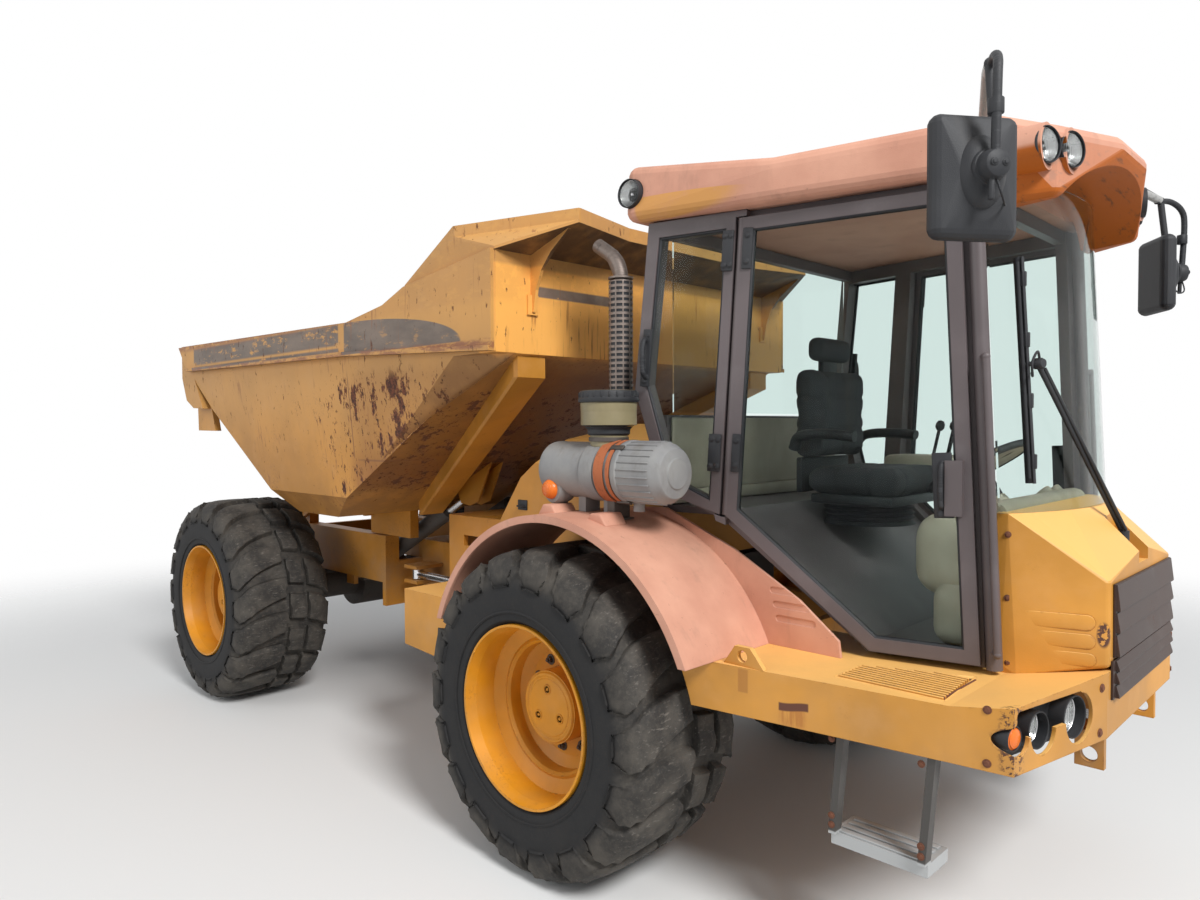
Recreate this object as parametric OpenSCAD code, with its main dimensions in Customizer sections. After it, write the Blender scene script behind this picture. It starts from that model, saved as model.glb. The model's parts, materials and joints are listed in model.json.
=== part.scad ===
// Small articulated dump truck: a front unit with cab, hood and axle, and a rear
// unit with axle and tipping body, hinged to each other about an upright pin.
// Millimetres. +X forward, +Y to the left side, +Z up. The ground is Z = 0.
// Lengths along X are written from the front wheel axis, heights from the ground
// under the pressed tyre, and place() moves both to the finished frame.

/* [Whole vehicle] */
// foremost point, ahead of the front axle
front_x = 1818; // [1750:1:1900]
// rearmost point of the body
rear_x = -3938; // [-4100:1:-3800]
// distance between the axles
wheelbase = 3190; // [3050:1:3300]
// upright steering pin, from the front axle
pivot_x = -1950; // [-2000:1:-1900]

/* [Wheels] */
// height of the wheel axis on a tyre pressed flat by its load
hub_z = 613; // [600:1:625]
// free radius out to the lug tips
tyre_r = 645; // [630:1:665]
// how far a lug stands out
lug_h = 30; // [20:1:40]
// middle of the tyre from the centre plane
tyre_y = 970; // [950:1:1000]
// tyre width
tyre_w = 600; // [560:1:620]
// rim radius where the tyre sits
rim_r = 355; // [340:1:370]
// lug pairs around one tyre
lug_n = 18; // [12:1:22]
// spindle radius
spindle_r = 60; // [50:1:70]

/* [Bumper] */
// top of the deck
deck_z = 935; // [900:1:960]
// underside of the beam
beam_z = 772; // [750:1:800]
// plate thickness
beam_t = 12; // [8:1:16]
// top edge above the lamps
lamp_top_z = 975; // [960:1:990]

/* [Cab] */
// turn of the door planes, wider toward the back
cab_turn = 11.5; // [8:0.5:14]
// front corner of the door plane
cab_fx = 1490; // [1450:1:1520]
// half width at the front corner
cab_fy = 575; // [550:1:600]
// door thickness
door_t = 32; // [26:1:40]
// gap between door and pillars
door_gap = 7; // [6:1:10]

/* [Dump body] */
// half width of the hopper sides
bed_y = 1096; // [1050:1:1110]
// body plate thickness
bed_t = 14; // [10:1:20]
// hinge of the body
tip_x = -3450; // [-3500:1:-3400]
// height of the body hinge
tip_z = 1120; // [1100:1:1160]

/* [Hidden] */
mid_x = (front_x + rear_x) / 2;
clear_r = 0.05;
rear_axle_x = -wheelbase;
// the unloaded tyre stands this much higher than the loaded one
low = tyre_r - hub_z;

// Moves a piece to the finished frame: middle of the vehicle, free tyres on Z = 0.
module place() { translate([-mid_x, 0, low]) children(); }
module both() {
  children();
  mirror([0, 1, 0]) children();
}
// A prism with its side outline in X and Z, running across from y0 to y1.
module across(pts, y0, y1) {
  translate([0, y1, 0]) rotate([90, 0, 0]) linear_extrude(y1 - y0) polygon(pts);
}
// A prism with its plan outline in X and Y, from z0 to z1.
module upright(pts, z0, z1) {
  translate([0, 0, z0]) linear_extrude(z1 - z0) polygon(pts);
}
// A box by its two corners.
module block(a, b) { translate(a) cube(b - a); }
// A round bar between two points.
module bar(a, b, r) {
  d = b - a;
  translate(a)
    rotate([0, acos(d[2] / norm(d)), atan2(d[1], d[0])])
      cylinder(r = r, h = norm(d), $fn = 40);
}
// A bent rail through several points, with a small ball at each bend.
module rail(pts, r) {
  for (i = [0:len(pts) - 2]) bar(pts[i], pts[i + 1], r);
  if (len(pts) > 2)
    for (i = [1:len(pts) - 2]) translate(pts[i]) sphere(r = r * 1.12, $fn = 32);
}
// A cylinder across the vehicle from y0 to y1.
module axle(x, z, y0, y1, r) {
  translate([x, y0, z]) rotate([-90, 0, 0]) cylinder(r = r, h = y1 - y0, $fn = r > 300 ? 240 : 72);
}

// Front unit: frame, axle and bumper

yoke_top = [1000, 1045];
yoke_low = [515, 560];
pin_r = 55;
rail_z = [725, 915];
// arch over the tyre: room above it, and its middle from the wheel axis
arc_r = tyre_r + 108;
arc_x = 80;
arc_z = hub_z + 29;

module front_frame() {
  color("goldenrod") place() difference() {
    union() {
      both() {
        // long rail, step plate and side plate
        block([-800, 300, rail_z[0]], [1600, 380, rail_z[1]]);
        block([-800, 300, rail_z[0]], [-760, 470, rail_z[1]]);
        block([-1560, 440, 700], [-940, 470, 1230]);
        block([-941, 440, 700], [-760, 470, 1140]);
        block([-1560, 440, 515], [-1400, 470, 701]);
        // shelf and pin of a steering cylinder
        block([-1110, 240, 715], [-990, 441, 740]);
        translate([-1050, 300, 739]) cylinder(r = 20, h = 96, $fn = 40);
      }
      block([1560, -380, rail_z[0]], [1600, 380, rail_z[1]]);
      block([600, -301, 740], [640, 301, 900]);
      block([-1560, -441, 1190], [-1300, 441, 1230]);
      block([-1560, -180, 515], [-1520, 180, 1200]);
      // the fork that holds the rear unit
      for (z = [yoke_top, yoke_low]) {
        upright([[-1400, -440], [-1400, 440], [-1560, 440], [pivot_x, 160],
                 [pivot_x, -160], [-1560, -440]], z[0], z[1]);
        translate([pivot_x, 0, z[0]]) cylinder(r = 160, h = z[1] - z[0], $fn = 72);
      }
      // the pin through both plates
      translate([pivot_x, 0, yoke_low[0] - 20])
        cylinder(r = pin_r, h = yoke_top[1] - yoke_low[0] + 40, $fn = 72);
    }
    // slot and hole in the side plates
    both() block([-1420, 430, 1060], [-900, 480, 1120]);
    both() block([-1330, 430, 850], [-1180, 480, 1010]);
  }
}

module axle_beam() {
  axle(0, hub_z, -600, 600, 105);
  axle(0, hub_z, -190, 190, 185);
  both() {
    block([-70, 300, hub_z], [70, 380, rail_z[0]]);
    axle(0, hub_z, 600, 1005, spindle_r);
  }
}

module front_axle() { color("dimgray") place() axle_beam(); }

beam_plan = [[560, 1078], [1520, 950], [1700, 930], [1803, 430], [1803, -430],
             [1700, -930], [1520, -950], [560, -1078]];
// turn of the swept lamp face
lamp_turn = 11.6;
// columns: along X, across, radius
lamp_at = [[1703, 900, 48], [1729, 782, 66], [1769, 590, 76]];
lamp_z = 868;

module beam_shell(inset, z0, z1) {
  translate([0, 0, z0]) linear_extrude(z1 - z0) offset(delta = -inset) polygon(beam_plan);
}
// The slope of the deck up to the edge above the lamps.
module deck_top(drop) {
  across([[500, beam_z - 1], [1900, beam_z - 1], [1900, lamp_top_z - drop],
          [1803, lamp_top_z - drop], [1530, deck_z - drop], [500, deck_z - drop]], -1200, 1200);
}

module bumper_deck() {
  color("gold") place() difference() {
    union() {
      difference() {
        intersection() {
          beam_shell(0, beam_z, lamp_top_z);
          deck_top(0);
        }
        intersection() {
          beam_shell(beam_t, beam_z - 1, lamp_top_z);
          deck_top(beam_t);
        }
        block([500, -380, beam_z - 1], [1530, 380, 1000]);
      }
      both() {
        // inner skirt against the rail and brackets to the front cross plate
        block([700, 380, beam_z], [1531, 392, deck_z - 1]);
        block([1600, 200, 800], [1792, 260, 900]);
        block([720, 391, beam_z], [732, 1050, deck_z - 1]);
      }
    }
    both() {
      axle(0, hub_z, 350, 1300, 705);
      // opening of the tread grating
      upright(tread_plan, beam_z, 1000);
      // three round lamp openings that run together under a straight top edge
      for (l = lamp_at)
        translate([l[0], l[1], lamp_z]) rotate([0, 90, lamp_turn]) translate([0, 0, -60])
          cylinder(r = l[2], h = 160, $fn = 48);
      hull() for (l = [lamp_at[0], lamp_at[2]], up = [12, 66])
        translate([l[0], l[1], lamp_z]) rotate([0, 90, lamp_turn]) translate([-up, 0, -60])
          cylinder(r = 14, h = 160, $fn = 32);
    }
  }
}

tread_plan = [[1150, 740], [1150, 915], [1505, 915], [1480, 610]];

module deck_treads() {
  color("darkgoldenrod") place() both() {
    difference() {
      upright(tread_plan, deck_z - 30, deck_z - 2);
      translate([0, 0, deck_z - 31]) linear_extrude(40) offset(delta = -10) polygon(tread_plan);
    }
    for (i = [0:6])
      intersection() {
        upright(tread_plan, deck_z - 30, deck_z - 2);
        block([1140, 640 + i * 40, deck_z - 20], [1520, 654 + i * 40, deck_z - 2]);
      }
  }
}

// the lifting eye stands just ahead of the arch
lift_x = round(arc_x + sqrt(arc_r * arc_r - (deck_z - arc_z) * (deck_z - arc_z)) + 101);

module lifting_eyes() {
  color("gold") place() both() difference() {
    across([[lift_x - 75, deck_z], [lift_x + 85, deck_z], [lift_x + 30, deck_z + 65],
            [lift_x - 30, deck_z + 65]], 1006, 1026);
    axle(lift_x, deck_z + 33, 1000, 1030, 20);
  }
}

module tow_eyes() {
  color("goldenrod") place() both() difference() {
    union() {
      block([1690, 320, 640], [1775, 345, beam_z]);
      block([1680, 300, beam_z], [1803 - beam_t, 420, beam_z + 10]);
    }
    axle(1732, 682, 310, 350, 25);
  }
}

module side_steps() {
  color("silver") place() both() {
    // hanging straps and the tread between them
    for (x = [1160, 1450])
      across([[x - 12, 440], [x + 12, 440], [x + 42, beam_z], [x + 18, beam_z]], 905, 945);
    difference() {
      block([1148, 780, 400], [1462, 925, 440]);
      for (i = [0:4]) block([1175, 795 + i * 26, 390], [1435, 807 + i * 26, 450]);
    }
  }
}

module side_boxes() {
  color("gold") place() both() difference() {
    across([[-1330, 600], [-1330, 890], [-715, 890], [-715, 560]], 470, 920);
    across([[-1318, 612], [-1318, 878], [-727, 878], [-727, 572]], 482, 908);
  }
}

module fender_arc(r) { axle(arc_x, arc_z, 600, 1300, r); }
flute_at = [1135, 1085, 1035];

module fenders() {
  color("lightsalmon") place() both() {
    difference() {
      axle(arc_x, arc_z, 700, 1200, arc_r);
      axle(arc_x, arc_z, 690, 1186, arc_r - 14);
      axle(arc_x, arc_z, 1180, 1210, arc_r - 30);
      block([-1000, 600, -400], [1000, 1300, arc_z]);
      block([arc_x, 600, 0], [1000, 1300, deck_z]);
      block([-1000, 600, 0], [arc_x, 1300, 890]);
    }
    // the web between arch and cab
    difference() {
      across([[arc_x, 1340], [arc_x, arc_z + arc_r], [280, 1405], [618, 1268], [900, 1112],
              [1054, 992], [1062, deck_z], [700, deck_z], [500, 1100]], 700, 714);
      axle(arc_x, arc_z, 690, 720, arc_r - 14);
      for (z = flute_at)
        hull() for (e = [0, 1])
          translate([790 + (1135 - z) * 0.25 + e * (110 + (1135 - z) * 0.3), 718, z])
            rotate([90, 0, 0]) cylinder(r = 12, h = 8, $fn = 32);
    }
  }
}

module nose_cowl() {
  color("gold") place() difference() {
    hull() both() {
      for (q = [[1515, 488, 965], [1785, 398, 998], [1783, 392, 1243]])
        translate(q) sphere(r = 18, $fn = 16);
      upright([[1497, 0], [1497, 500], [1532, 500], [1578, 420], [1640, 240], [1675, 0]], 1400, 1450);
      block([1500, 0, deck_z], [1560, 500, 960]);
      block([1760, 0, 980], [1803, 60, 1310]);
    }
    // room for the wiper
    block([1700, -62, 1270], [1900, 62, 1500]);
    // the deck rises under the cowl
    deck_top(0);
    // hollow inside
    hull() both() {
      block([1400, 0, 900], [1560, 480, 960]);
      block([1400, 0, 900], [1500, 470, 1380]);
      block([1500, 0, 900], [1770, 375, 1225]);
    }
  }
}

module grille() {
  color("dimgray") place() difference() {
    union() {
      block([1803, -375, 1012], [1810, 375, 1240]);
      block([1803, -395, 884], [1810, 395, 1004]);
      // louvres that lean out at their lower edge: bottom, top
      for (g = [[1014, 1082], [1088, 1150], [1156, 1238], [886, 924], [930, 963], [969, 1002]])
        across([[1809, g[0]], [1822, g[0]], [1822, g[0] + 7], [1813, g[1]], [1809, g[1]]],
               -372, 372);
    }
    block([1811, -372, 1004], [1823, 372, 1012]);
  }
}

// Cab: side planes turned in plan

// Length along the door plane of a point that lies at x along the vehicle.
function lx(x) = (x - cab_fx) / cos(cab_turn);
// Outlines on the door plane are written with X along the vehicle and Z.
function flat(pts) = [for (q = pts) [lx(q[0]), q[1]]];

// Places the right side; both() adds the left one.
module cab_side() {
  translate([cab_fx, -cab_fy, 0]) rotate([0, 0, cab_turn]) children();
}
// A plate in the door plane, from y0 to y1 inward of its outer face.
module side_plate(y0, y1) {
  translate([0, y1, 0]) rotate([90, 0, 0]) linear_extrude(y1 - y0) children();
}

roof_z = 2530;
hinge_low = [605, 1400];
hinge_top = [672, 2500];
door_pts = [[672, 2500], [605, 1400], [1135, 962], [1478, 962], [1405, 2500]];
frame_top = roof_z - 0.3;
ring_pts = [[285, frame_top], [1424, frame_top], [1488, 950], [1120, 950], [585, 1375], [345, 1475],
            [222, 1880]];
quarter_pts = [[330, 2470], [610, 2470], [543, 1450], [378, 1522], [268, 1900]];
quarter_ring = [[285, frame_top], [648, frame_top], [648, 2500], [581, 1400], [345, 1475], [222, 1880]];
frame_y = door_t + door_gap;
// plates of the frame that hold the door's hinge pins, above and below the door
hinge_plates = [[[560, 2506], [690, 2506], [690, frame_top], [560, frame_top]],
                [[560, 1402], [583, 1393], [606, 1391], [606, 1362], [566, 1376]]];
// A point of the hinge axis, by its height.
function hinge_at(z) = [
  lx(hinge_low[0] + (z - hinge_low[1]) * (hinge_top[0] - hinge_low[0]) / (hinge_top[1] - hinge_low[1])),
  door_t / 2, z];

module cab_frame() {
  color("dimgray") place() {
    both() cab_side() {
      difference() {
        side_plate(frame_y, frame_y + 45) polygon(flat(ring_pts));
        side_plate(frame_y - 1, frame_y + 46)
          offset(delta = -26) polygon(flat(door_pts));
        side_plate(frame_y - 1, frame_y + 46) polygon(flat(quarter_pts));
      }
      difference() {
        side_plate(4, frame_y) polygon(flat(quarter_ring));
        side_plate(0, frame_y + 1) polygon(flat(quarter_pts));
      }
      // hinge pins and the plates that hold them
      for (g = hinge_plates) side_plate(4, frame_y) polygon(flat(g));
      bar(hinge_at(2470), hinge_at(2518), 6);
      bar(hinge_at(1380), hinge_at(1430), 6);
      // round front pillar and its grab rail
      bar([lx(1516), 28, 950], [lx(1445), 28, 2526], 25);
      rail([[lx(1514), 28, 1010], [lx(1530), -20, 1010], [lx(1490), -20, 1950],
            [lx(1472), 28, 1950]], 12);
    }
    block([1360, -525, 2480], [1400, 525, frame_top]);
    block([290, -745, 2480], [330, 745, frame_top]);
  }
}

module cab_tub() {
  color("gray") place() {
    // floor and sloped footwell, as wide as the cab frame's inner faces
    intersection() {
      across([[1485, 945], [1085, 945], [560, 1385], [240, 1385], [240, 1412], [571, 1412],
              [1096, 972], [1485, 972]], -800, 800);
      upright([[1485, 560], [640, 720], [600, 655], [240, 680], [240, -680], [600, -655],
               [640, -720], [1485, -560]], 900, 1500);
      cab_side() block([-1500, frame_y + 45, 900], [600, 1600, 1500]);
      mirror([0, 1, 0]) cab_side() block([-1500, frame_y + 45, 900], [600, 1600, 1500]);
    }
    block([240, -680, 1411], [262, 680, 1780]);
    block([1473, -480, 971], [1485, 480, 1440]);
    both() block([1150, 395, deck_z], [1450, 460, 946]);
  }
}

glass_r = 987;
glass_cx = 673;

// The curved pane, leaned back, between two radii.
module glass_shell(r0, r1) {
  translate([glass_cx + glass_r, 0, 1450]) rotate([0, -3, 0])
    translate([-glass_r, 0, -40]) rotate([0, 0, -33]) rotate_extrude(angle = 66, $fn = 240)
      translate([r0, 0]) square([r1 - r0, 1200]);
}
module windshield() {
  color([0.5, 0.6, 0.6, 0.4]) place() intersection() {
    glass_shell(glass_r - 6, glass_r);
    block([1300, -515, 1450], [1800, 515, 2530]);
  }
}

module cab_glass() {
  color([0.5, 0.6, 0.6, 0.4]) place() {
    both() cab_side() side_plate(20, 26) polygon(flat(quarter_pts));
    block([300, -690, 1790], [306, 690, 2480]);
  }
}

// Roof, widest at the back, with a hollow visor over the windshield
roof_rear = [[240, 820, 2716], [240, 830, 2580], [820, 755, 2640], [820, 745, 2570]];
roof_front = [[820, 755, 2640], [820, 745, 2570], [1500, 570, 2660], [1500, 560, 2575]];

// lamps in the roof: place of the back of the lamp, and the way it faces in plan
roof_lamps = [[1604, 541, 2580, 0], [1640, 428, 2582, 0], [236, 846, 2646, 90]];

module roof_lamp(l, back, front, r) {
  translate([l[0], l[1], l[2]]) rotate([0, 90, l[3]]) translate([0, 0, back])
    cylinder(r = r, h = front - back, $fn = 48);
}

module roof_solid() {
  // round pods that hold the front lamps
  both() for (i = [0, 1]) roof_lamp(roof_lamps[i], -70, 48, 71);
  for (g = [roof_rear, roof_front])
    hull() both() for (q = g) translate(q) sphere(r = 42, $fn = 16);
  hull() both() {
    translate([1500, 570, 2660]) sphere(r = 42, $fn = 16);
    translate([1500, 520, 2470]) sphere(r = 42, $fn = 16);
    translate([1640, 470, 2470]) sphere(r = 30, $fn = 16);
    translate([1640, 470, 2620]) sphere(r = 42, $fn = 16);
    translate([1722, 150, 2640]) sphere(r = 42, $fn = 16);
  }
}

module roof() {
  color("lightsalmon") place() difference() {
    roof_solid();
    // groove of the windshield
    intersection() {
      glass_shell(glass_r - 9, glass_r + 3);
      block([1300, -520, 1450], [1800, 520, 2533]);
    }
    // flat underside over cab and doors
    block([100, -1000, 2300], [1476, 1000, roof_z]);
    // scoop under the visor
    translate([1452, 0, 2380]) scale([1, 1, 0.46]) rotate([0, 90, 0])
      cylinder(r = 470, h = 500, $fn = 48);
    block([1452, -1000, 2300], [2000, 1000, 2420]);
    both() for (l = roof_lamps) roof_lamp(l, 0, 200, 58);
  }
}

module lamps() {
  color("lightgray") place() both() {
    // headlamps and the corner indicator
    for (l = lamp_at)
      translate([l[0], l[1], lamp_z]) rotate([0, 90, lamp_turn]) difference() {
        translate([0, 0, -62]) cylinder(r = l[2] - 12, h = 54, $fn = 48);
        translate([0, 0, -54]) cylinder(r = l[2] - 16, h = 60, $fn = 48);
      }
    for (l = lamp_at)
      translate([l[0], l[1], lamp_z]) rotate([0, 90, lamp_turn]) translate([0, 0, -130])
        cylinder(r = 18, h = 80, $fn = 40);
    // carrier against the underside of the deck
    intersection() {
      block([1560, 560, 800], [1650, 880, 1000]);
      deck_top(beam_t);
    }
    for (l = roof_lamps) difference() {
      roof_lamp(l, 0, 40, 54);
      roof_lamp(l, 24, 60, 49);
    }
  }
}

module seat() {
  // top of the sloped footwell at x
  floor_z = 1412 - (1000 - 571) * 440 / 525;
  color("darkslategray") place() {
    across([[571, 1412], [1000, floor_z], [1000, 1413], [600, 1413]], -200, 200);
    block([640, -240, 1412], [1040, 240, 1450]);
    block([600, -250, 1450], [1055, 250, 1560]);
    block([560, -240, 1450], [680, 240, 2120]);
  }
}

module console() {
  color("tan") place() {
    across([[1473, 972], [1473, 1440], [1400, 1440], [1330, 1250], [1360, 972]], -400, 400);
    bar([1380, 0, 1340], [1250, 0, 1560], 28);
    translate([1250, 0, 1560]) rotate([0, -30, 0]) cylinder(r = 190, h = 24, $fn = 60);
  }
}

module engine_block() {
  color("dimgray") place() {
    block([-640, -280, 810], [150, 280, 1120]);
    block([-600, -200, 1120], [100, 200, 1400]);
    both() block([-400, 279, 820], [-330, 300, 900]);
  }
}

hood_pts = [[190, 1745], [-180, 1745], [-470, 1670], [-740, 1480], [-900, 1262],
            [-930, 1150], [190, 1150]];

module hood_section(y, top) {
  translate([-2000, 0, 0]) rotate([90, 0, 90]) linear_extrude(3000)
    polygon([[-y, 900], [-y, top - 190], [-y + 60, top - 70], [-y + 190, top],
             [y - 190, top], [y - 60, top - 70], [y, top - 190], [y, 900]]);
}

module engine_hood() {
  color("gold") place() difference() {
    intersection() {
      across(hood_pts, -700, 700);
      hood_section(620, 1745);
    }
    intersection() {
      translate([0, 0, -12]) across(hood_pts, -700, 700);
      translate([12, 0, -12]) across(hood_pts, -700, 700);
      hood_section(608, 1733);
      block([-1000, -700, 1000], [178, 700, 1800]);
    }
    block([-2000, -700, 1100], [500, 700, 1151]);
  }
  // feet on the side plates
  color("gold") place() both() block([-900, 445, 1140], [-790, 615, 1163]);
}

cleaner_y = 950;
cleaner_z = arc_z + arc_r + 165;

module air_cleaner() {
  color("silver") place() mirror([0, 1, 0]) {
    translate([-100, cleaner_y, cleaner_z]) rotate([0, 90, 0]) {
      cylinder(r = 112, h = 240, $fn = 64);
      translate([0, 0, 239]) cylinder(r = 120, h = 70, $fn = 64);
      translate([0, 0, 308]) cylinder(r = 114, h = 200, $fn = 64);
      translate([0, 0, 507]) cylinder(r1 = 114, r2 = 96, h = 36, $fn = 64);
    }
    difference() {
      both_feet();
      fender_arc(arc_r + 0.3);
    }
    translate([350, cleaner_y, cleaner_z - 150]) cylinder(r = 22, h = 60, $fn = 32);
  }
}
module both_feet() {
  for (x = [60, 200])
    block([x, cleaner_y - 40, 1340], [x + 40, cleaner_y + 40, cleaner_z - 100]);
}

module pre_cleaner() {
  color("wheat") place() mirror([0, 1, 0]) difference() {
    union() {
      translate([190, cleaner_y, 1640]) cylinder(r = 74, h = 100, $fn = 56);
      translate([190, cleaner_y, 1739]) cylinder(r = 110, h = 92, $fn = 64);
      translate([190, cleaner_y, 1830]) cylinder(r = 106, h = 44, $fn = 64);
    }
    translate([-200, cleaner_y, cleaner_z]) rotate([0, 90, 0]) cylinder(r = 120, h = 409, $fn = 64);
    translate([-200, cleaner_y, cleaner_z]) rotate([0, 90, 0]) cylinder(r = 114, h = 800, $fn = 64);
  }
}

module exhaust() {
  color("gray") place() mirror([0, 1, 0]) {
    rail([[107, 620, 1520], [107, 790, 1520], [107, 790, 2350], [60, 790, 2440],
          [-20, 790, 2492]], 27);
    bar([107, 790, 1885], [107, 790, 2330], 44);
  }
}

module mirrors() {
  color("black") place() both() {
    difference() {
      rail([[1480, 595, 2650], [1590, 860, 2735], [1640, 985, 2700], [1668, 1010, 2420]], 13);
      roof_solid();
    }
    translate([1620, 1045, 2385]) rotate([0, 0, 36]) {
      hull() {
        for (y = [-93, 93], z = [-132, 132]) translate([-2, y, z]) sphere(r = 32, $fn = 16);
        translate([14, 0, 10]) rotate([0, 90, 0]) cylinder(r = 62, h = 34, $fn = 24);
      }
      translate([47, 0, 10]) rotate([0, 90, 0]) cylinder(r = 34, h = 30, $fn = 40);
    }
  }
}

module wiper() {
  color("black") place() {
    bar([1740, 0, 1270], [1740, 0, 1368], 20);
    rail([[1740, 0, 1358], [1592, -425, 1930], [1551, -431, 1930]], 8);
    bar([1573, -425, 1560], [1532, -436, 2260], 9);
  }
}

// Doors, hung at their rear edge

module door_panel() {
  difference() {
    union() {
      side_plate(0, door_t) polygon(flat(door_pts));
      bar([lx(hinge_low[0]), door_t / 2, hinge_low[1]],
          [lx(hinge_top[0]), door_t / 2, hinge_top[1]], door_t / 2 + 1);
    }
    side_plate(-1, door_t + 1) offset(delta = -46) polygon(flat(door_pts));
    // holes for the hinge pins
    bar(hinge_at(2465), hinge_at(2520), 6 + clear_r);
    bar(hinge_at(1380), hinge_at(1435), 6 + clear_r);
  }
  translate([lx(1372), -22, 1440]) cube([lx(1424) - lx(1372), 22, 180]);
}
module door_pane() {
  side_plate(12, 17) offset(delta = -46) polygon(flat(door_pts));
}
module door_right() { color("dimgray") place() cab_side() door_panel(); }
module door_glass_right() { color([0.5, 0.6, 0.6, 0.4]) place() cab_side() door_pane(); }
module door_left() { color("dimgray") place() mirror([0, 1, 0]) cab_side() door_panel(); }
module door_glass_left() {
  color([0.5, 0.6, 0.6, 0.4]) place() mirror([0, 1, 0]) cab_side() door_pane();
}

// Steering cylinders

steer_base = [-1050, 300];
steer_eye_x = -2150;
steer_len = steer_base[0] - steer_eye_x;
steer_z = 790;
steer_rod_r = 24;

module tube_x(x0, x1, r) { translate([x0, 0, 0]) rotate([0, 90, 0]) cylinder(r = r, h = x1 - x0, $fn = 48); }
module steer_at() { translate([steer_base[0], -steer_base[1], steer_z]) rotate([0, 0, 180]) children(); }

module steer_barrel() {
  difference() {
    union() {
      translate([0, 0, -28]) cylinder(r = 42, h = 56, $fn = 48);
      tube_x(30, 620, 40);
    }
    translate([0, 0, -45]) cylinder(r = 20 + clear_r, h = 90, $fn = 48);
    tube_x(60, 640, steer_rod_r + clear_r);
  }
}
module steer_rod() {
  tube_x(260, steer_len - 20, steer_rod_r);
  translate([steer_len, 0, -29]) cylinder(r = 36, h = 58, $fn = 48);
}
module steer_barrel_right() { color("gray") place() steer_at() steer_barrel(); }
module steer_rod_right() { color("silver") place() steer_at() steer_rod(); }
module steer_barrel_left() { color("gray") place() mirror([0, 1, 0]) steer_at() steer_barrel(); }
module steer_rod_left() { color("silver") place() mirror([0, 1, 0]) steer_at() steer_rod(); }

// Rear unit: frame, axle and the tipping cylinders

tip_base = [rear_axle_x + 290, 700];
tip_eye = [-1600, 1355];
tip_len = norm(tip_eye - tip_base);
tip_tilt = atan2(tip_eye[1] - tip_base[1], tip_eye[0] - tip_base[0]);
tip_y = 245;
rear_rail_top = 1030;

module rear_frame() {
  color("goldenrod") place() difference() {
    union() {
      // nose held in the fork
      translate([pivot_x, 0, 570]) cylinder(r = 150, h = 420, $fn = 72);
      block([-2360, -150, 575], [pivot_x, 150, 985]);
      block([-2360, -430, 575], [-2320, 430, 860]);
      both() {
        block([-3560, 330, rail_z[0]], [-2320, 430, rear_rail_top]);
        // ears beside a steering rod
        for (z = [733, 826])
          block([-2230, 149, z], [-2085, 350, z + 22]);
        // ears beside the body hinge and its stub pin
        block([-3530, 345, rear_rail_top - 1], [-3380, 415, tip_z + 45]);
        axle(tip_x, tip_z, 414, 500, 30);
        // hangers of the tipping cylinders
        block([tip_base[0] - 50, 330, 640], [tip_base[0] + 50, 360, rail_z[0] + 1]);
      }
      block([-3560, -331, 760], [-3520, 331, 1000]);
      axle(tip_base[0], tip_base[1], -345, 345, 28);
    }
    translate([pivot_x, 0, 500]) cylinder(r = pin_r + clear_r, h = 600, $fn = 72);
  }
}

module rear_axle() {
  color("dimgray") place() translate([rear_axle_x, 0, 0]) {
    axle_beam();
    both() block([-70, 379, rail_z[0] - 40], [70, 430, rail_z[0]]);
  }
}

module tip_at() {
  translate([tip_base[0], 0, tip_base[1]]) rotate([0, -tip_tilt, 0]) children();
}
module tip_barrels() {
  color("gray") place() tip_at() both() difference() {
    union() {
      axle(0, 0, tip_y - 30, tip_y + 30, 52);
      translate([0, tip_y, 0]) tube_x(30, 1150, 55);
    }
    axle(0, 0, tip_y - 60, tip_y + 60, 28 + clear_r);
    translate([0, tip_y, 0]) tube_x(80, 1200, 35 + clear_r);
  }
}
module tip_rods() {
  color("silver") place() tip_at() both() {
    translate([0, tip_y, 0]) tube_x(90, tip_len - 20, 35);
    axle(tip_len, 0, tip_y - 30, tip_y + 30, 46);
  }
}

// Tipping body

bed_side = [[rear_x, 2314], [-1560, 2284], [-1190, 2340], [-1000, 2408], [-330, 2495],
            [-334, 2052], [-2035, 1212], [-2520, 1212], [-3460, 1858], [-3770, 2122]];
bed_inner = [[rear_x - 50, 2330], [rear_x - 50, 2700], [-344, 2700], [-348, 2060],
             [-2040, 1226], [-2515, 1226], [-3452, 1872], [-3762, 2136], [rear_x + 10, 2328]];

module bed_section(inset) {
  translate([-4300, 0, 0]) rotate([90, 0, 90]) linear_extrude(4400) offset(delta = -inset)
    polygon([[-bed_y, 2800], [-bed_y, 2080], [-bed_y + 92, 1345], [-bed_y + 191, 1205],
             [bed_y - 191, 1205], [bed_y - 92, 1345], [bed_y, 2080], [bed_y, 2800]]);
}
// The corner cut off where a side meets the sloped front; t moves the cut inward.
module corner_cut(t) {
  both() translate([-0.303 * t, -0.788 * t, 0.536 * t])
    polyhedron([[-650, bed_y + 1, 2051], [-1523, bed_y - 56, 1483], [-334, bed_y - 116, 2053],
                [-240, bed_y + 140, 2052]],
               [[0, 2, 1], [0, 1, 3], [1, 2, 3], [2, 0, 3]]);
}
// The body's solid outline, also used to trim what is welded beneath it.
module bed_outline() {
  difference() {
    intersection() {
      across(bed_side, -1200, 1200);
      bed_section(0);
    }
    corner_cut(0);
  }
}

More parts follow.
